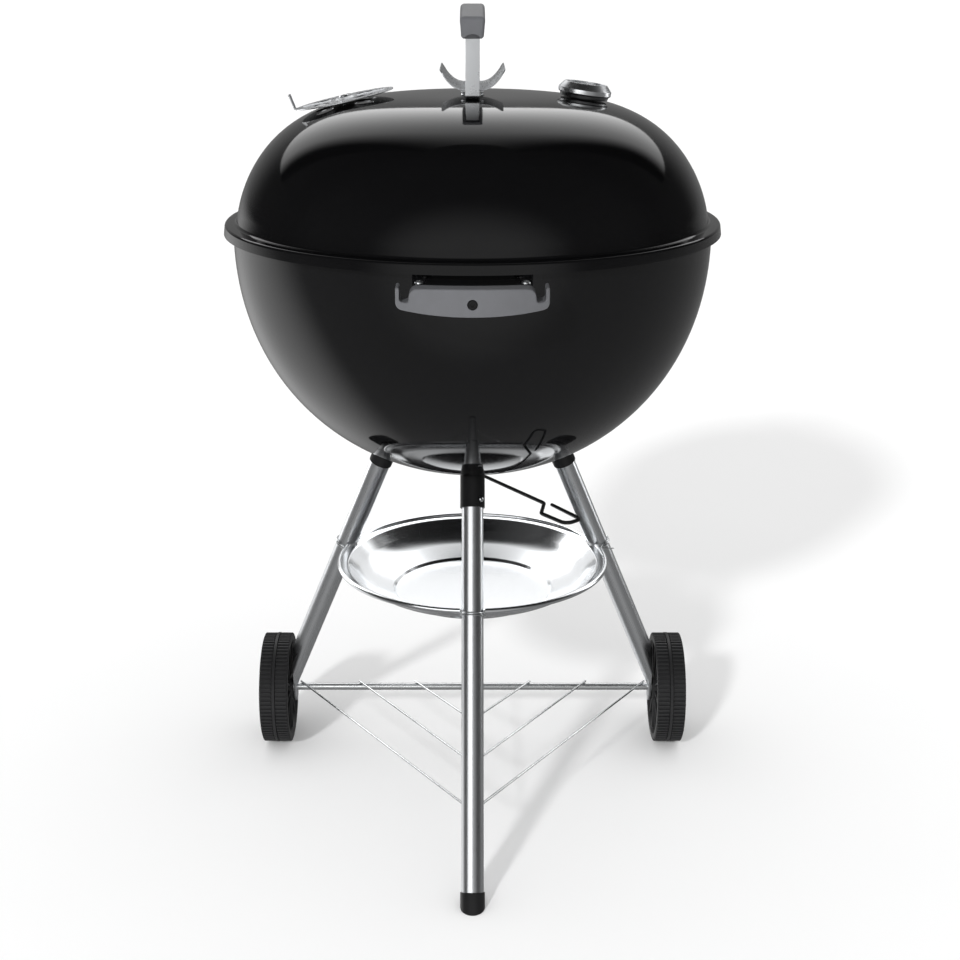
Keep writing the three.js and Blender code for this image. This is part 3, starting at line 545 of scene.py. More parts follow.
def printed_dial():
    """A satin printed metal dial: pale grey with a faint grain."""
    made, coords = surface("printed_dial", "#d4d6d8", 0.35, 0.3)
    grain = add(made, "TexNoise", {"Vector": coords, "Scale": per(0.8), "Detail": 4}, "Fac")
    tone = add(made, "Mix", {0: grain, 6: linear("#cdcfd1"), 7: linear("#dcdedf")}, 2, **COLOURS)
    print_grain = add(made, "Bump", {"Height": grain, "Distance": 0.01 * MM, "Strength": 0.4})
    return into(made, Base_Color=tone, Normal=print_grain)


def pale_paper():
    """The studio's pale floor paper, dull all over with faint clouds."""
    made, coords = surface("pale_paper", "#f4f4f4", 1.0, Specular_IOR_Level=0)
    clouds = add(made, "TexNoise", {"Vector": coords, "Scale": 3}, "Fac")
    tone = add(made, "Mix", {0: clouds, 6: linear("#f3f3f3"), 7: linear("#f5f5f5")}, 2, **COLOURS)
    return into(made, Base_Color=tone)


ENAMEL = porcelain_enamel()
GREY_NYLON = moulded_nylon("grey_glass_nylon", "#6c6d70", "#75767a", 0.46)
WHEEL_PLASTIC = moulded_nylon("wheel_polypropylene", "#262627", "#2e2e2f", 0.48)
BLACK_NYLON = moulded_nylon("black_nylon", "#1b1b1c", "#222223", 0.4)
BLACK_STEEL = powder_coat()
LEG_METAL = {leg.name: drawn_aluminium(leg) for leg in LEGS}
SPUN = spun_aluminium()
ROLLED = rolled_aluminium()
CHROME = bright_plate("chrome_plate", "#e2e4e6", 0.16)
SATIN_CHROME = bright_plate("satin_chrome_plate", "#d6d8da", 0.3)
NICKEL = bright_plate("nickel_plated_wire", "#dcdedf", 0.22)
GLASS = clear_glass()
DIAL = printed_dial()
BARE_METALS = [*LEG_METAL.values(), SPUN, ROLLED, CHROME, SATIN_CHROME, NICKEL]
METALS = bpy.data.collections.new("bare_metal")
PAN_ONLY = bpy.data.collections.new("pan_only")


# ---------------------------------------------------------------- bowl
def make_bowl():
    outer = shell_line(BOWL, 56)
    inner = offset(outer, -SHEET)
    inner[0].x = 0
    top = BOWL.level
    bead_edge = BOWL.rim + 6.9
    bead = rounded(
        flat((BOWL.rim, top + 4), (BOWL.rim, top + 6.4), (bead_edge, top + 6.4),
             (bead_edge, top + 14.5), (BOWL.rim - SHEET, top + 14.5), (BOWL.rim - SHEET, top + 9)),
        [0, 1.2, 3.4, 3.9, 2, 0],
        closed=False,
    )
    body = turned(outer + bead + inner[:0:-1] + [inner[0]], 192, closed=False)
    ports = [placed(ash_port(), swung(90 + 120 * i)) for i in range(3)]
    shaft_hole = pin(4.6, 400, 470)
    piece("bowl_shell", carved(body, *ports, shaft_hole), ENAMEL, "bowl")


def ash_port():
    """A cutter for a slot with round ends along a radius."""
    half = ASH_PORT["half"]
    near, far = ASH_PORT["near"] - half, ASH_PORT["far"] + half
    outline = rounded(flat((near, -half), (far, -half), (far, half), (near, half)), half - 0.01, 10)
    return placed(extruded(outline, 80), moved(0, 0, 440) @ swung(90, "X"))


# ---------------------------------------------------------------- legs, sockets and foot
def bowl_body(grow=GAP, steps=128):
    """The bowl as a full body, a little larger, to trim what is welded to it."""
    line = offset(shell_line(BOWL, 40), grow)
    line[0].x = 0
    return turned(line + flat((0, BOWL.level)), steps, closed=False)


def tube(outer, wall, low, high, chamfer=0.6):
    """A tube about Z with eased ends."""
    inner = outer - wall
    ease = min(chamfer, wall / 2.2)
    return rim([(inner, low), (outer, low), (outer, high), (inner, high)], ease, 3, 64)


def make_legs():
    for leg in LEGS:
        place = leg_place(leg, leg.socket)
        button = leg_place(leg, leg.button) @ swung(leg.turn) @ swung(90, "Y")
        high = leg_length(leg, leg.socket, leg.top)
        low = -leg_length(leg, FOOT_CAP["tube_end"] if leg.name == "front" else 40, leg.socket)
        pole = placed(tube(LEG_RADIUS, LEG_WALL, low, high), place)
        pole = carved(pole, bowl_body())
        if leg.name != "front":
            pole = rear_end(pole, math.copysign(1, leg_point(leg, 0).x))
        piece(leg.name + "_leg_tube", pole, LEG_METAL[leg.name], leg.name + "_leg")

        reach = leg_length(leg, leg.socket, 480)
        collar = leg_length(leg, leg.socket, leg.socket + 19)
        inside = LEG_RADIUS + GAP
        wide = SOCKET_RADIUS + leg.flare
        sleeve = [
            (inside, 0), (SOCKET_RADIUS, 0), (SOCKET_RADIUS, collar - 6), (wide, collar), (wide, reach),
            (inside, reach),
        ]
        sleeve = placed(rim(sleeve, [0.4, 0.8, 5, 3, 0, 0], 6, 64), place)
        socket = carved(sleeve, bowl_body(), placed(pin(BUTTON["hole"], 8, 22), button))
        piece(leg.name + "_socket_sleeve", socket, BLACK_STEEL, leg.name + "_leg_socket")

        tip, root, radius = SOCKET_RADIUS + BUTTON["proud"], BUTTON["root"], BUTTON["radius"]
        dome = solid([(0, root), (radius, root), (radius, tip), (0, tip)], [0, 0.3, 2.2, 0], 6, 32)
        piece(leg.name + "_button_dome", placed(dome, button), CHROME, leg.name + "_snap_button")


def rear_end(pole, side):
    """A rear leg is cut off beside the wheel and ends in a flat tongue for the axle."""
    cut = sorted((side * LEG_CUT, side * 400))
    beyond = blocked((cut[0], 0, 0), (cut[1], 250, 250))
    pole = carved(pole, beyond)
    half, thick = TONGUE["half"], TONGUE["thick"]
    low, high = AXLE["z"] - TONGUE["below"], AXLE["z"] + TONGUE["above"]
    end = half - 0.1
    outline = rounded(flat((-half, low), (half, low), (half, high), (-half, high)), [end, end, 2, 2], 10)
    tongue = extruded(outline, thick, 0.5)
    tongue = placed(tongue, moved(side * (LEG_CUT - thick / 2), AXLE["y"], 0) @ swung(90))
    hole = placed(pin(AXLE["radius"] + GAP, 200, 280), axle_place(side))
    return together(pole, carved(tongue, hole))


def axle_place(side):
    """The axle's line, with Z pointing outwards from the grill's middle."""
    return moved(0, AXLE["y"], AXLE["z"]) @ swung(side * 90, "Y")


def make_foot_cap():
    leg = LEGS[0]
    place = leg_place(leg, 0)
    high = leg_length(leg, 0, FOOT_CAP["high"])
    pocket = leg_length(leg, 0, FOOT_CAP["tube_end"] - GAP)
    inside, radius = LEG_RADIUS + GAP, FOOT_CAP["radius"]
    section = [(0, -20), (radius, -20), (radius, high), (inside, high), (inside, pocket), (0, pocket)]
    cup = placed(solid(section, [0, 0, 0.5, 0.2, 0.5, 0], 4, 64), place)
    halved(cup, (0, 0, 0), (0, 0, -1))
    bmesh.ops.contextual_create(cup, geom=[edge for edge in cup.edges if edge.is_boundary])
    sole = [edge for edge in cup.edges if max(abs(vert.co.z) for vert in edge.verts) < 0.01]
    eased(cup, sole, 1.6, 4)
    piece("foot_cap", cup, BLACK_NYLON, "front_foot_cap")


# ---------------------------------------------------------------- axle, wheels and rack
def make_axle():
    half, radius = AXLE["half"], AXLE["radius"]
    rod = solid([(0, -half), (radius, -half), (radius, half), (0, half)], [0, 0.8, 0.8, 0], 3, 48)
    piece("axle_rod", placed(rod, axle_place(1)), NICKEL, "axle")
    for name, side in (("right", 1), ("left", -1)):
        place = axle_place(side)
        inner = AXLE["radius"] + GAP
        low, high = LEG_CUT + GAP, WHEEL["inner"] - GAP
        washer = rim([(inner, low), (11, low), (11, high), (inner, high)], 0.3, 3, 48)
        piece(name + "_washer", placed(washer, place), CHROME, name + "_axle_washer")
        outer = WHEEL["outer"]
        tip, skirt = half + GAP, outer - 1 + GAP
        cap = [
            (0, tip), (inner, tip), (inner, skirt), (13, skirt), (12.4, outer + 3.4), (8, outer + 5.4),
            (0, outer + 6),
        ]
        cap = placed(solid(cap, [0, 0.3, 0.3, 0.6, 1.4, 2.5, 0], 4, 48), place)
        piece(name + "_cap", cap, BLACK_NYLON, name + "_hub_cap")
        piece(name + "_tyre_and_hub", placed(wheel_shape(), place), WHEEL_PLASTIC, name + "_wheel")


def wheel_shape():
    """A moulded wheel: a ribbed tread each side of a smooth middle band, and a webbed dish."""
    radius, inner, outer, bore = WHEEL["radius"], WHEEL["inner"], WHEEL["outer"], WHEEL["bore"]
    tread = radius - 2.4
    middle = (inner + outer) / 2
    section = [
        (bore, inner), (17, inner), (19, inner + 12), (60, inner + 12), (64.5, inner + 0.8),
        (tread - 1, inner + 0.8), (tread, inner + 2.4), (tread, middle - 2.3), (radius, middle - 1.9),
        (radius, middle + 1.9), (tread, middle + 2.3), (tread, outer - 2.4), (tread - 1, outer - 0.8),
        (64.5, outer - 0.8), (60, outer - 12), (19, outer - 12), (17, outer - 1), (bore, outer - 1),
    ]
    radii = [0.4, 1.2, 2.5, 2.5, 1, 0.6, 0.8, 0.3, 0.4]
    dish = rim(section, radii + radii[::-1], 3, 128)
    rows = []
    for low, high in ((inner + 1.6, middle - 2.6), (middle + 2.6, outer - 1.6)):
        near, far = (tread - 1.5, -1.5, low), (radius - 0.5, 1.5, high)
        rows.append(around(lambda: blocked(near, far, 0.5, 1), 80))
    webs = []
    for low, high in ((inner + 2.6, inner + 13), (outer - 13, outer - 2.6)):
        webs.append(around(lambda: blocked((17, -1.3, low), (62, 1.3, high), 0.5, 2), 12))
    rings = []
    for low, high in ((inner + 6, inner + 13), (outer - 13, outer - 6)):
        rings.append(rim([(38, low), (40.6, low), (40.6, high), (38, high)], 0.6, 2, 96))
    return together(dish, *rows, *webs, *rings)


def make_rack():
    level = AXLE["z"] + AXLE["radius"] + RACK_WIRE + GAP
    wires = []
    for half_width, apex in ((238, -250), (157, -133), (80, -15)):
        corner = Vector((0, apex, level))
        ends = [Vector((side * half_width, AXLE["y"] + 4, level)) for side in (-1, 1)]
        wires.append(wired(rounded([ends[0], corner, ends[1]], 12, 8, closed=False), RACK_WIRE))
    below = level - RACK_WIRE * 1.7
    wires.append(wired([Vector((0, -262, below)), Vector((0, AXLE["y"] - 8, below))], RACK_WIRE))
    piece("rack_wires", together(*wires), NICKEL, "bottom_rack")


# ---------------------------------------------------------------- ash pan and clips
def make_pan():
    radius, top, floor, floor_radius = (PAN[key] for key in ("radius", "rim", "floor", "floor_radius"))
    dish = rounded(
        flat((0, floor), (floor_radius, floor), (floor_radius + 3.5, floor + 3.2), (138, floor + 18),
             (160, top - 2.2), (radius - 5, top - 1.6)),
        [0, 1.2, 2, 70, 5, 0], 14, closed=False,
    )
    bead = rounded(
        flat((radius - 4.6, top - 3), (radius, top - 3), (radius, top + 3), (radius - 5.4, top + 3),
             (radius - 5.4, top - 0.2)),
        [0.5, 2.6, 2.8, 2.4, 0], 8, closed=False,
    )
    upper = offset(dish[:-1], -1.0)
    upper[0].x = 0
    body = turned(dish + bead + upper[::-1], 160, closed=False)
    notches = [placed(pin(LEG_RADIUS + 3, -50, 50), leg_place(leg, 290)) for leg in LEGS]
    PAN_ONLY.objects.link(piece("spun_ash_pan", carved(body, *notches), SPUN, "ash_pan"))
    for leg in LEGS:
        piece("pan_clip_" + leg.name, clip_shape(leg), NICKEL, "ash_clip_" + leg.name)


def clip_shape(leg):
    """Two turns of spring wire round the leg, with a short end each side."""
    place = leg_place(leg, 297 if leg.name == "front" else 301)
    ring = LEG_RADIUS + GAP + 1.2
    count = 48
    start = -math.pi / 2
    coil = []
    for i in range(count + 1):
        turn = start + 4 * math.pi * i / count
        coil.append(Vector((ring * math.cos(turn), ring * math.sin(turn), 5 * (0.5 - i / count))))
    tail = [coil[0] + Vector((-9, -8, 1)), *coil, coil[-1] + Vector((9, -13, -0.5))]
    return placed(wired(tail, 0.8, fineness=2), place)


# ---------------------------------------------------------------- vent sweep
def make_sweep():
    low, high = corners_of("sweep_shaft")
    foot, head = low.z, high.z
    shaft = [(0, foot), (4, foot), (4, head - 4), (8, head - 4), (7, head - 1), (0, head)]
    piece("sweep_spindle", solid(shaft, [0, 0.5, 0.3, 0.8, 1.5, 0], 4, 32), CHROME, "sweep_shaft")
    level = LEVER["level"]
    route = [Vector((x, y, level)) for x, y in LEVER_ROUTE]
    wire = wired(rounded(route, [0, 8, 8, 9, 9, 0], 8, closed=False), LEVER["wire"])
    washer = [(0, level - 2.5), (9, level - 2.5), (9, level + 2.5), (0, level + 2.5)]
    lever = together(wire, solid(washer, [0, 0.8, 0.8, 0], 3, 48))
    piece("sweep_handle_wire", lever, BLACK_STEEL, "sweep_lever")


# ---------------------------------------------------------------- grates
def grate_shape(radius, level, ring, bar, count):
    """A round grate: one ring, parallel bars across its top and two cross bars below."""
    inside = radius - ring
    middle = Vector((0, 0, level - ring))
    parts = [wired(ring_points(inside, 128, middle), ring, cyclic=True)]
    pitch = 2 * radius / (count + 1)
    top = level - bar * 0.5
    for i in range(count):
        x = pitch * (i - (count - 1) / 2)
        half = math.sqrt(inside**2 - x**2)
        parts.append(wired([Vector((x, -half, top)), Vector((x, half, top))], bar, fineness=2))
    for y in (-radius / 2.6, radius / 2.6):
        half = math.sqrt(inside**2 - y**2)
        ends = [Vector((x, y, top - 2 * bar)) for x in (-half, half)]
        parts.append(wired(ends, bar, fineness=2))
    return together(*parts)


def make_grates():
    piece("cooking_grate_bars", grate_shape(**COOKING_GRATE), CHROME, "cooking_grate")
    piece("charcoal_grate_bars", grate_shape(**CHARCOAL_GRATE), BLACK_STEEL, "charcoal_grate")


# ---------------------------------------------------------------- front handle
def make_bowl_handle():
    high, low, half = HANDLE["high"], HANDLE["low"], HANDLE["half"]
    step = 6
    below = [(x, low - 1.5 + 3.2 * (x / half) ** 2, 0) for x in range(0, 67, step)]
    above = [(x, high - 1.4 - 1.6 * (x / 50) ** 2, 0) for x in range(48, -1, -step)]
    side = [
        *below, (half, low + 1.7, 6.5), (half, high - 5, 2), (half - 4, high - 5, 1.8),
        (half - 4, low + 9.5, 3), (half - 13.5, low + 9.5, 3), (half - 14.5, high - 5, 9), *above,
    ]
    corners = side + [(-x, z, r) for x, z, r in side[-2:0:-1]]
    outline = rounded(flat(*[(x, z) for x, z, _ in corners]), [r for _, _, r in corners], 6)
    bar = extruded(outline, HANDLE["thick"], 1.2, 3)
    placed(bar, moved(0, HANDLE["thick"] / 2, 0))
    for i in range(-12, 13):
        halved(bar, (i * 6.1, 0, 0), (1, 0, 0), keep_both=True)
    centre = HANDLE["front"] + HANDLE["bow"]
    for vert in bar.verts:
        radius = HANDLE["bow"] - vert.co.y
        vert.co.y = centre - math.sqrt(radius**2 - vert.co.x**2)
    recess = moved(0, HANDLE["front"], HANDLE["screw"]) @ swung(90, "X")
    bar = carved(bar, placed(pin(5.4, -3, 5), recess), placed(pin(3.3, -40, 5), recess))
    piece("front_handle_grip", bar, GREY_NYLON, "bowl_handle", crease=30)

    place = moved(0, HANDLE["front"] + 0.2, HANDLE["screw"]) @ swung(90, "X")
    head = [(0, 0), (4.8, 0), (4.8, -2.6), (2.9, -2.6), (2.9, -32), (0, -32)]
    head = solid(head, [0, 0.9, 0.3, 0.2, 0.5, 0], 4, 48)
    turns = [math.pi * i / 3 for i in range(6)]
    key = flat(*[(2.6 * math.cos(turn), 2.6 * math.sin(turn)) for turn in turns])
    screw = carved(head, placed(extruded(key, 3), swung(90, "X")))
    piece("handle_socket_screw", placed(screw, place), BLACK_STEEL, "handle_screw")
    for name in ("right", "left"):
        low_corner, high_corner = corners_of("handle_bolt_" + name)
        middle = (low_corner + high_corner) / 2
        seat, top = low_corner.z, high_corner.z
        bolt = [(0, seat), (5, seat), (4.6, seat + 1.8), (2.4, top - 0.4), (0, top)]
        bolt = placed(solid(bolt, [0, 0.3, 0.8, 1.5, 0], 4, 32), moved(middle.x, middle.y, 0))
        piece("domed_bolt_" + name, bolt, SATIN_CHROME, "handle_bolt_" + name)


# ---------------------------------------------------------------- lid
def make_lid():
    rise = ((SKIRT["wall_end"] - LID.level) / LID.depth) ** (LID.axial / 2)
    end = math.acos(rise) * 2 / math.pi
    dome = shell_line(LID, 56, end)
    edge = rounded(
        flat((dome[-1].x, SKIRT["wall_end"]), (LID.rim, SKIRT["high"] + 0.8), (293.6, SKIRT["high"] - 0.2),
             (SKIRT["radius"], SKIRT["low"])),
        [0, 4, 3, 0], 8, closed=False,
    )[1:]
    outer = dome + edge
    inner = offset(outer, SHEET)
    inner[0].x = 0
    body = turned(outer + inner[::-1], 192, closed=False)
    vent = on_lid(VENT["x"])
    holes = []
    for turn in (45, 135, 225, 315):
        place = vent @ swung(turn) @ moved(VENT["ring"], 0, 0)
        holes.append(placed(pin(VENT["hole"], -20, 20), place))
    holes.append(placed(pin(3.4, -20, 20), vent))
    holes.append(placed(pin(5.4, -20, 20), on_lid(GAUGE["x"])))
    piece("lid_dome", carved(body, *holes), ENAMEL, "lid")
    x = 215
    roof = shell_height(LID, x) - 22
    route = [(x - 34, roof + 6), (x, roof), (x + 22, roof - 38), (x + 2, roof - 66), (x - 12, roof - 52)]
    piece("lid_hanging_hook", wired(rounded(flat(*route), 9, 8, closed=False), 2.2), NICKEL, "lid_hook")


ALONG_Y = swung(90)


def make_strap():
    foot_y, sheet, width, top = STRAP["foot"], STRAP["sheet"], STRAP["width"], STRAP["top"]
    foot = shell_height(LID, foot_y) + GAP + sheet / 2 + 0.3
    line = rounded(
        flat((-foot_y + 16, foot), (-foot_y, foot), (-foot_y, top), (foot_y, top), (foot_y, foot),
             (foot_y - 16, foot)),
        [0, 3, 5, 5, 3, 0], 8, closed=False,
    )
    strap = placed(extruded(ribbon(line, sheet), width, 0.4, 2), ALONG_Y)
    piece("handle_strap", strap, SATIN_CHROME, "lid_handle_strap")
    make_grip()


def make_grip():
    half, width, low, end, crown = (GRIP[key] for key in ("half", "width", "low", "end", "crown"))
    bulge = crown - end
    side = rounded(
        flat((-half, low), (half, low), (half - 1, end), (half * 0.5, end + bulge * 0.8),
             (0, crown + 0.5), (-half * 0.5, end + bulge * 0.8), (-half + 1, end)),
        [2.5, 2.5, 6, 120, 200, 120, 6], 8,
    )
    bar = placed(extruded(side, width, 4.5, 5), ALONG_Y)
    for vert in bar.verts:
        share = min(max((vert.co.z - low) / 17, 0), 1)
        vert.co.x *= 0.88 + 0.12 * share
    reach = STRAP["sheet"] / 2 + GAP
    across = STRAP["width"] / 2 + GAP
    foot_y, top = STRAP["foot"], STRAP["top"]
    channel = blocked((-across, -foot_y - reach, low - 5), (across, foot_y + reach, top + reach))
    arches = [placed(pin(12.5, -9, 9), moved(0, y, low - 7) @ swung(90, "X")) for y in (-half, half)]
    piece("lid_grip", carved(bar, channel, *arches), GREY_NYLON, "lid_handle_grip", crease=30)
    low_corner, high_corner = corners_of("lid_handle_liner")
    piece("grip_liner", blocked(low_corner, high_corner, 0.8), GREY_NYLON, "lid_handle_liner")


def make_shield():
    keys = ("half", "tip", "floor", "sheet", "length")
    half, tip, floor, sheet, length = (SHIELD[key] for key in keys)
    line = rounded(
        flat((-half, tip), (-half + 7, floor + 12), (-half + 17, floor + 2), (0, floor - 0.4),
             (half - 17, floor + 2), (half - 7, floor + 12), (half, tip)),
        [0, 30, 24, 60, 24, 30, 0], 8, closed=False,
    )
    body = extruded(ribbon(line, sheet), length)
    tips = []
    for edge in body.edges:
        one, other = (vert.co for vert in edge.verts)
        short = edge.calc_length() < sheet * 1.5 and abs(one.y - other.y) < 0.1
        if short and min(one.z, other.z) > tip - 2 and abs(abs(one.y) - length / 2) < 0.1:
            tips.append(edge)
    eased(body, tips, 7, 6)
    piece("curved_heat_shield", body, ROLLED, "heat_shield", crease=30)
    make_shield_stays()


def make_shield_stays():
    for name, side in (("front", -1), ("back", 1)):
        low, high = corners_of("shield_bracket_" + name)
        face = low.y + 0.9 if side < 0 else high.y - 0.9
        near, far = low.y + 0.2, high.y - 0.2
        top, shoulder, base = high.z, high.z - 6, low.z
        plate = flat((-14, top), (-14, shoulder), (-8.2, base), (8.2, base), (14, shoulder), (14, top))
        plate = extruded(rounded(plate, [1, 2, 1, 1, 2, 1], 4), 1.6, 0.3, 2)
        sill, lintel = base + 1.6, top - 6.5
        window = flat((-7.5, lintel), (-3.6, sill), (3.6, sill), (7.5, lintel))
        window = extruded(rounded(window, 0.8, 3), 10)
        plate = placed(carved(plate, window), moved(0, face, 0))
        flange = blocked((-13, near, top - 1.6), (13, far, top), 0.3, 2)
        foot = blocked((-7.8, near, base), (7.8, far, base + 1.6), 0.3, 2)
        rivets = []
        for x in (-11.2, 11.2):
            dome = solid([(0, 0), (2.1, 0), (1.6, 1.1), (0, 1.4)], [0, 0.2, 0.6, 0], 3, 20)
            seat = moved(x, face + side * 0.8, top - 4.2) @ swung(side * -90, "X")
            rivets.append(placed(dome, seat))
        stay = together(plate, flange, foot, *rivets)
        piece(name + "_shield_stay", stay, CHROME, "shield_bracket_" + name)


# ---------------------------------------------------------------- air damper
def make_damper():
    radius, lift, sheet, ring = VENT["radius"], VENT["lift"], VENT["sheet"], VENT["ring"]
    section = [
        (0, 1.6), (9, 1.6), (12.5, 0), (radius - 2, 0), (radius, 0), (radius, sheet),
        (radius - 2, sheet), (13, sheet), (9.5, 1.6 + sheet), (0, 1.6 + sheet),
    ]
    disc = solid(section, [0, 1, 1, 0, 0.4, 0.4, 0, 1, 1, 0], 3, 128)
    cutters = [pin(3.4, -5, 8)]
    for turn in (45, 135, 225, 315):
        slot = placed(pin(1, -6, 9, 40), Matrix.Diagonal((9.5, 13, 1, 1)))
        cutters.append(placed(slot, swung(turn) @ moved(ring, 0, 0)))
    disc = carved(disc, *cutters)
    ribs = around(lambda: blocked((15, -1.6, sheet * 0.6), (radius - 9, 1.6, sheet + 1.1), 0.5, 2), 4)
    bend = flat((-radius + 6, sheet / 2), (-radius - 0.6, sheet / 2), (-radius - 3.6, 18.6))
    bend = rounded(bend, [0, 1.6, 0], 6, closed=False)
    tab = extruded(ribbon(bend, sheet), 16, 0.2, 1)
    teeth = []
    for i in range(5):
        level = 6 + 2.8 * i
        x = -radius - 1.5 - 2.5 * i / 4
        teeth.append(wired([Vector((x, -7, level)), Vector((x, 7, level))], 0.8, fineness=2))
    disc = placed(together(disc, ribs, tab, *teeth), on_lid(VENT["x"], lift))
    piece("air_damper_disc", disc, ROLLED, "damper_disc")

    top = lift + sheet + 1.6 + GAP
    foot, clench = -SHEET - 4, -SHEET - 2.4
    rivet = [
        (0, foot), (5, foot), (5, clench), (3, clench), (3, top), (6, top), (5, top + 1.8),
        (0, top + 2.4),
    ]
    rivet = placed(solid(rivet, [0, 0.4, 0.4, 0.2, 0.2, 0.3, 1, 0], 4, 40), on_lid(VENT["x"]))
    piece("damper_rivet_head", rivet, CHROME, "damper_rivet")


# ---------------------------------------------------------------- thermometer
def make_gauge():
    radius, high = GAUGE["radius"], GAUGE["high"]
    place = on_lid(GAUGE["x"], GAUGE["lift"])
    ledge = high - 3.4
    case = [
        (6.2, 0), (radius - 3.4, 0), (radius - 2.2, 3.8), (radius, 5.2), (radius, 10), (radius - 6, high),
        (radius - 9, high), (radius - 9, ledge), (radius - 8, ledge), (radius - 8, 3), (6.2, 3),
    ]
    case = rim(case, [0.3, 1, 0.8, 0.8, 0.6, 0.7, 0.5, 0.3, 0.3, 0.3, 0.3], 4, 96)
    piece("gauge_case", placed(case, place), SATIN_CHROME, "gauge_bezel")
    across = radius - 8.4
    disc = rim([(1.6, 8), (across, 8), (across, 9), (1.6, 9)], 0.2, 2, 96)
    piece("gauge_face", placed(disc, place), DIAL, "gauge_dial")
    marks = []
    for i in range(25):
        turn = -150 + 300 * i / 24
        near = across - (4.6 if i % 4 == 0 else 2.8)
        mark = blocked((near, -0.25, 8.9), (across - 1, 0.25, 9.1))
        marks.append(placed(mark, swung(turn)))
    piece("gauge_marks", placed(together(*marks), place), BLACK_NYLON, "gauge_dial", replaces=False)
    under = high - 5.4
    lens = [(0, under), (across, under), (across, high - 4.2), (0, high - 3.8)]
    lens = placed(solid(lens, [0, 0.3, 0.4, 0], 4, 96), place)
    piece("gauge_lens", lens, GLASS, "gauge_glass").visible_shadow = False
    pointer = rounded(flat((-5, -1.6), (17, -0.4), (17, 0.4), (-5, 1.6)), [0.8, 0.3, 0.3, 0.8], 3)
    pointer = placed(extruded(pointer, 0.8, 0.15, 1), moved(0, 0, 9.9) @ swung(90, "X"))
    boss = solid([(0, 7.6), (1.2, 7.6), (1.2, 10.4), (0, 10.6)], [0, 0.1, 0.4, 0], 3, 24)
    piece("gauge_pointer", placed(together(pointer, boss), place), BLACK_NYLON, "gauge_needle")
    stem = [(0, -60), (2.6, -58), (2.6, -16), (5, -16), (5, 7.2), (0, 7.2)]
    stem = placed(solid(stem, [0, 1.6, 0.5, 0.5, 0.5, 0], 4, 32), place)
    piece("gauge_stem", stem, CHROME, "gauge_probe")


# ---------------------------------------------------------------- stage
CAMERA_DISTANCE = 1.9269
CAMERA_HEIGHT = 1.0513
CAMERA_PITCH = 18.415
KEY = 1.6
DOME = 0.65
FLOOR_FILL = 2.1
FLOOR_ONLY = bpy.data.collections.new("floor_only")
NOTHING = bpy.data.collections.new("nothing")


def make_camera():
    camera = bpy.data.cameras.new("camera")
    camera.sensor_width = 36
    camera.lens = 60.35
    camera.shift_x = 0.0078
    camera.clip_end = 400
    holder = bpy.data.objects.new("camera", camera)
    holder.location = (0, KETTLE_Y - CAMERA_DISTANCE, CAMERA_HEIGHT)
    holder.rotation_euler = (math.radians(90 - CAMERA_PITCH), 0, 0)
    bpy.context.scene.collection.objects.link(holder)
    bpy.context.scene.camera = holder


def staged(name, shape, material, seen_by):
    """A stage object that only the named kinds of light ray meet."""
    mesh = bpy.data.meshes.new(name)
    shape.to_mesh(mesh)
    shape.free()
    mesh.materials.append(material)
    made = bpy.data.objects.new(name, mesh)
    bpy.context.scene.collection.objects.link(made)
    for ray in ("camera", "diffuse", "glossy", "transmission", "volume_scatter", "shadow"):
        setattr(made, "visible_" + ray, ray in seen_by)
    return made


def glowing(name):
    """A stage material that only glows, and its strength socket."""
    made = bpy.data.materials.new(name)
    made.use_nodes = True
    nodes = made.node_tree.nodes
    nodes.remove(nodes["Principled BSDF"])
    glow = add(made, "Emission", {"Color": (1, 1, 1, 1)})
    made.node_tree.links.new(glow, nodes["Material Output"].inputs["Surface"])
    return made, glow.node.inputs["Strength"]


SOFTBOX = {"middle": 0.75, "distance": 5.0, "foot": 21.5, "head": 76, "start": 118, "sweep": 124}


def softbox_material():
    """Brightest along its foot, falling towards a rounded head that is cut off softly."""
    made, strength = glowing("softbox")
    place = add(made, "TexCoord", {}, "Object")
    height = add(made, "SeparateXYZ", {"Vector": place}, "Z")
    across = add(made, "SeparateXYZ", {"Vector": place}, "X")
    squared = add(made, "Math", {0: across, 1: 2}, operation="POWER")
    sideways = add(made, "Math", {0: squared, 1: 0.047}, operation="MULTIPLY")
    share = add(made, "Math", {0: height, 1: 1 / 4.6, 2: sideways}, operation="MULTIPLY_ADD")
    reach = {"From Min": 0.52, "From Max": 1.16, "To Min": 2.3, "To Max": 0.75}
    fall = add(made, "MapRange", {"Value": share, **reach})
    reach = {"From Min": 1.1, "From Max": 1.28, "To Min": 1, "To Max": 0}
    cut = add(made, "MapRange", {"Value": share, **reach}, interpolation_type="SMOOTHSTEP")
    shaped = add(made, "Math", {0: fall, 1: cut}, operation="MULTIPLY")
    made.node_tree.links.new(shaped, strength)
    return made


def make_softbox():
    """A curved softbox behind the kettle that shows only in reflections."""
    distance, foot, head = SOFTBOX["distance"], SOFTBOX["foot"], SOFTBOX["head"]
    steps = 32
    turns = [math.radians(foot + (head - foot) * i / steps) for i in range(steps + 1)]
    middle = Vector((0, 0, SOFTBOX["middle"]))
    line = [middle + distance * Vector((math.cos(turn), 0, math.sin(turn))) for turn in turns]
    shape = placed(outlined(line, closed=False), swung(SOFTBOX["start"] - 90))
    geom = shape.verts[:] + shape.edges[:]
    sweep = math.radians(SOFTBOX["sweep"])
    bmesh.ops.spin(shape, geom=geom, cent=(0, 0, 0), axis=(0, 0, 1), angle=sweep, steps=48)
    staged("back_softbox", shape, softbox_material(), ("glossy",))


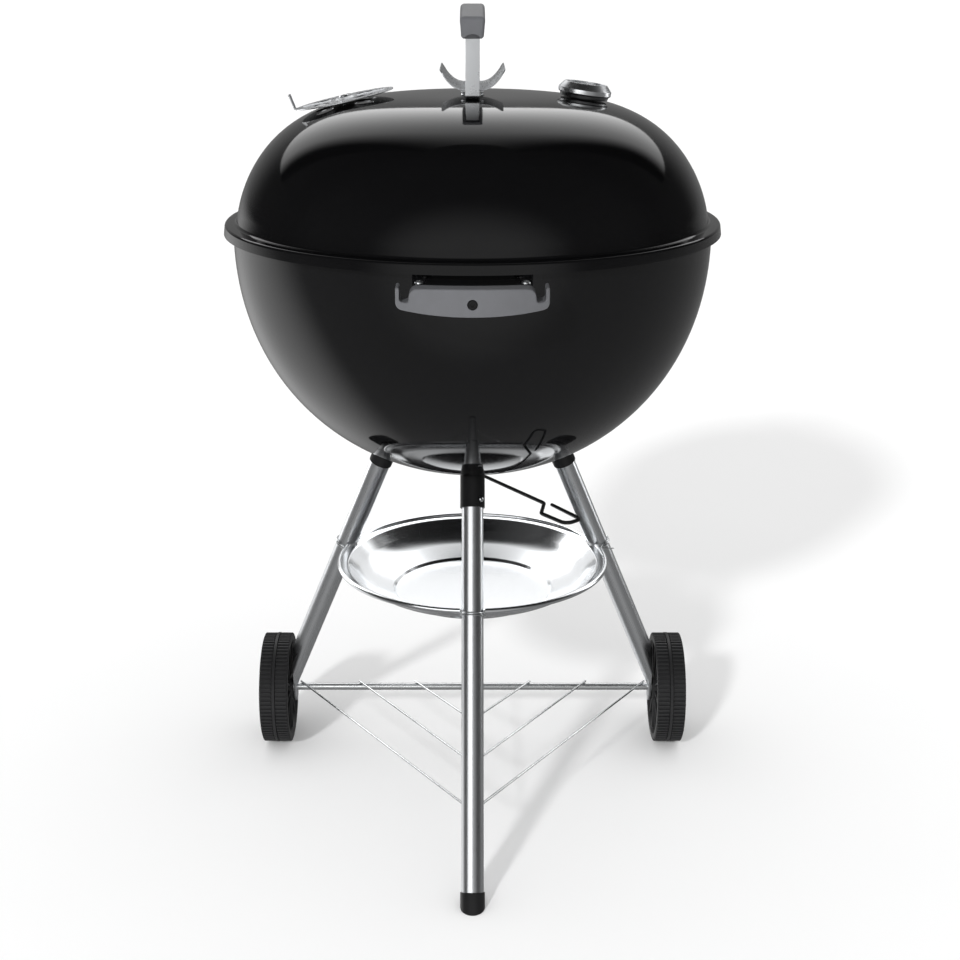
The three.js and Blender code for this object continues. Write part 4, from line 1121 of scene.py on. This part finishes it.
def make_floor():
    """Pale floor paper, and a white wall far behind it that only the camera sees."""
    shape = bmesh.new()
    bmesh.ops.create_circle(shape, cap_ends=True, segments=96, radius=60)
    FLOOR_ONLY.objects.link(staged("floor", shape, pale_paper(), ("camera", "diffuse", "shadow")))
    white, strength = glowing("white_backdrop")
    strength.default_value = 1
    wall = solid([(0, 60), (60, 60), (60, 0)], [0, 20, 0], 12, 96)
    staged("backdrop", wall, white, ("camera",))


def lit(name, lamp, place, receivers=None, blockers=None):
    """A lamp at a place. With receivers it lights only those, and with blockers only those shade it."""
    holder = bpy.data.objects.new(name, lamp)
    holder.matrix_world = place
    holder.visible_glossy = receivers in (METALS, PAN_ONLY)
    holder.light_linking.receiver_collection = receivers
    holder.light_linking.blocker_collection = blockers
    bpy.context.scene.collection.objects.link(holder)


def sun(name, energy, spread_degrees, towards, receivers=None, blockers=None):
    lamp = bpy.data.lights.new(name, "SUN")
    lamp.energy = energy
    lamp.angle = math.radians(spread_degrees)
    turn = (-Vector(towards)).to_track_quat("Z", "Y").to_matrix().to_4x4()
    lit(name, lamp, turn, receivers, blockers)


def metal_panel(name, azimuth, elevation, width, height, power, receivers=METALS):
    """A soft area lamp that lights only bare metal, at a bearing from the grill's front."""
    lamp = bpy.data.lights.new(name, "AREA")
    lamp.shape = "RECTANGLE"
    lamp.size = width
    lamp.size_y = height
    lamp.energy = power
    bearing, rise = math.radians(azimuth), math.radians(elevation)
    level = Vector((math.sin(bearing), -math.cos(bearing), 0))
    away = level * math.cos(rise) + Vector((0, 0, math.sin(rise)))
    turn = away.to_track_quat("Z", "Y").to_matrix().to_4x4()
    lit(name, lamp, Matrix.Translation(Vector((0, 0, 0.4)) + away * 3.2) @ turn, receivers)


def make_room():
    """A dim room: dark beside the grill, paler before, behind and below, with one pale low patch."""
    world = bpy.data.worlds.new("studio")
    world.use_nodes = True
    soft = {"interpolation_type": "SMOOTHSTEP"}
    way = add(world, "TexCoord", {}, "Generated")
    y, z = (add(world, "SeparateXYZ", {"Vector": way}, axis) for axis in "YZ")
    ahead = add(world, "Math", {0: y}, operation="ABSOLUTE")
    reach = {"From Min": 0.6, "From Max": 0.95, "To Min": 0.06, "To Max": 0.42}
    ends = add(world, "MapRange", {"Value": ahead, **reach}, **soft)
    reach = {"From Min": 0.2, "From Max": 0.95, "To Min": 1, "To Max": 0.5}
    height = add(world, "MapRange", {"Value": z, **reach}, **soft)
    reach = {"From Min": -0.2, "From Max": 0.2, "To Min": 1, "To Max": 0.55}
    behind = add(world, "MapRange", {"Value": y, **reach}, **soft)
    shaped = add(world, "Math", {0: ends, 1: height}, operation="MULTIPLY")
    upper = add(world, "Math", {0: shaped, 1: behind}, operation="MULTIPLY")
    reach = {"From Min": -0.95, "From Max": -0.6, "To Min": 0.42, "To Max": 0.2}
    front = add(world, "MapRange", {"Value": y, **reach}, **soft)
    patch_way = Vector((-0.8, 0.6, -0.5)).normalized()
    nearness = add(world, "VectorMath", {0: way, 1: patch_way}, "Value", operation="DOT_PRODUCT")
    reach = {"From Min": 0.74, "From Max": 0.99, "To Min": 0, "To Max": 0.75}
    patch = add(world, "MapRange", {"Value": nearness, **reach}, **soft)
    lower = add(world, "Math", {0: front, 1: patch}, operation="ADD")
    above = add(world, "MapRange", {"Value": z, "From Min": -0.1, "From Max": 0.04}, **soft)
    strength = add(world, "Mix", {0: above, 2: lower, 3: upper}, 0)
    background = world.node_tree.nodes["Background"]
    background.inputs["Color"].default_value = (1, 1, 1, 1)
    world.node_tree.links.new(strength, background.inputs["Strength"])
    bpy.context.scene.world = world


def make_light():
    bpy.context.scene.view_settings.view_transform = "Standard"
    make_room()
    make_softbox()
    sun("key", KEY, 5, (0.543, 1.166, -0.68))
    sun("dome", DOME, 180, (0, 0, -1))
    sun("floor_fill", FLOOR_FILL, 180, (0, 0, -1), FLOOR_ONLY, NOTHING)
    metal_panel("metal_front_panel", -26, 22, 2.6, 2.6, 33)
    metal_panel("metal_left_panel", -128, 16, 1.6, 2.6, 44)
    metal_panel("metal_right_panel", 112, 16, 0.9, 2.6, 20)
    metal_panel("pan_back_panel", 180, 30, 5.5, 2.6, 34, PAN_ONLY)


def coated(nodes, material):
    """Gives the frame's own pieces a material of their own, with their shapes as they are."""
    for node in nodes:
        frame["nodes"][node].data.materials.clear()
        frame["nodes"][node].data.materials.append(material)


make_camera()
make_bowl()
make_legs()
make_foot_cap()
make_axle()
make_rack()
make_pan()
make_sweep()
make_grates()
make_bowl_handle()
make_lid()
make_strap()
make_shield()
make_damper()
make_gauge()
coated([f"grate_bracket_{i}" for i in range(1, 5)] + ["sweep_blades", "handle_bracket"], BLACK_STEEL)
coated(["gauge_nut"], CHROME)
make_floor()
make_light()
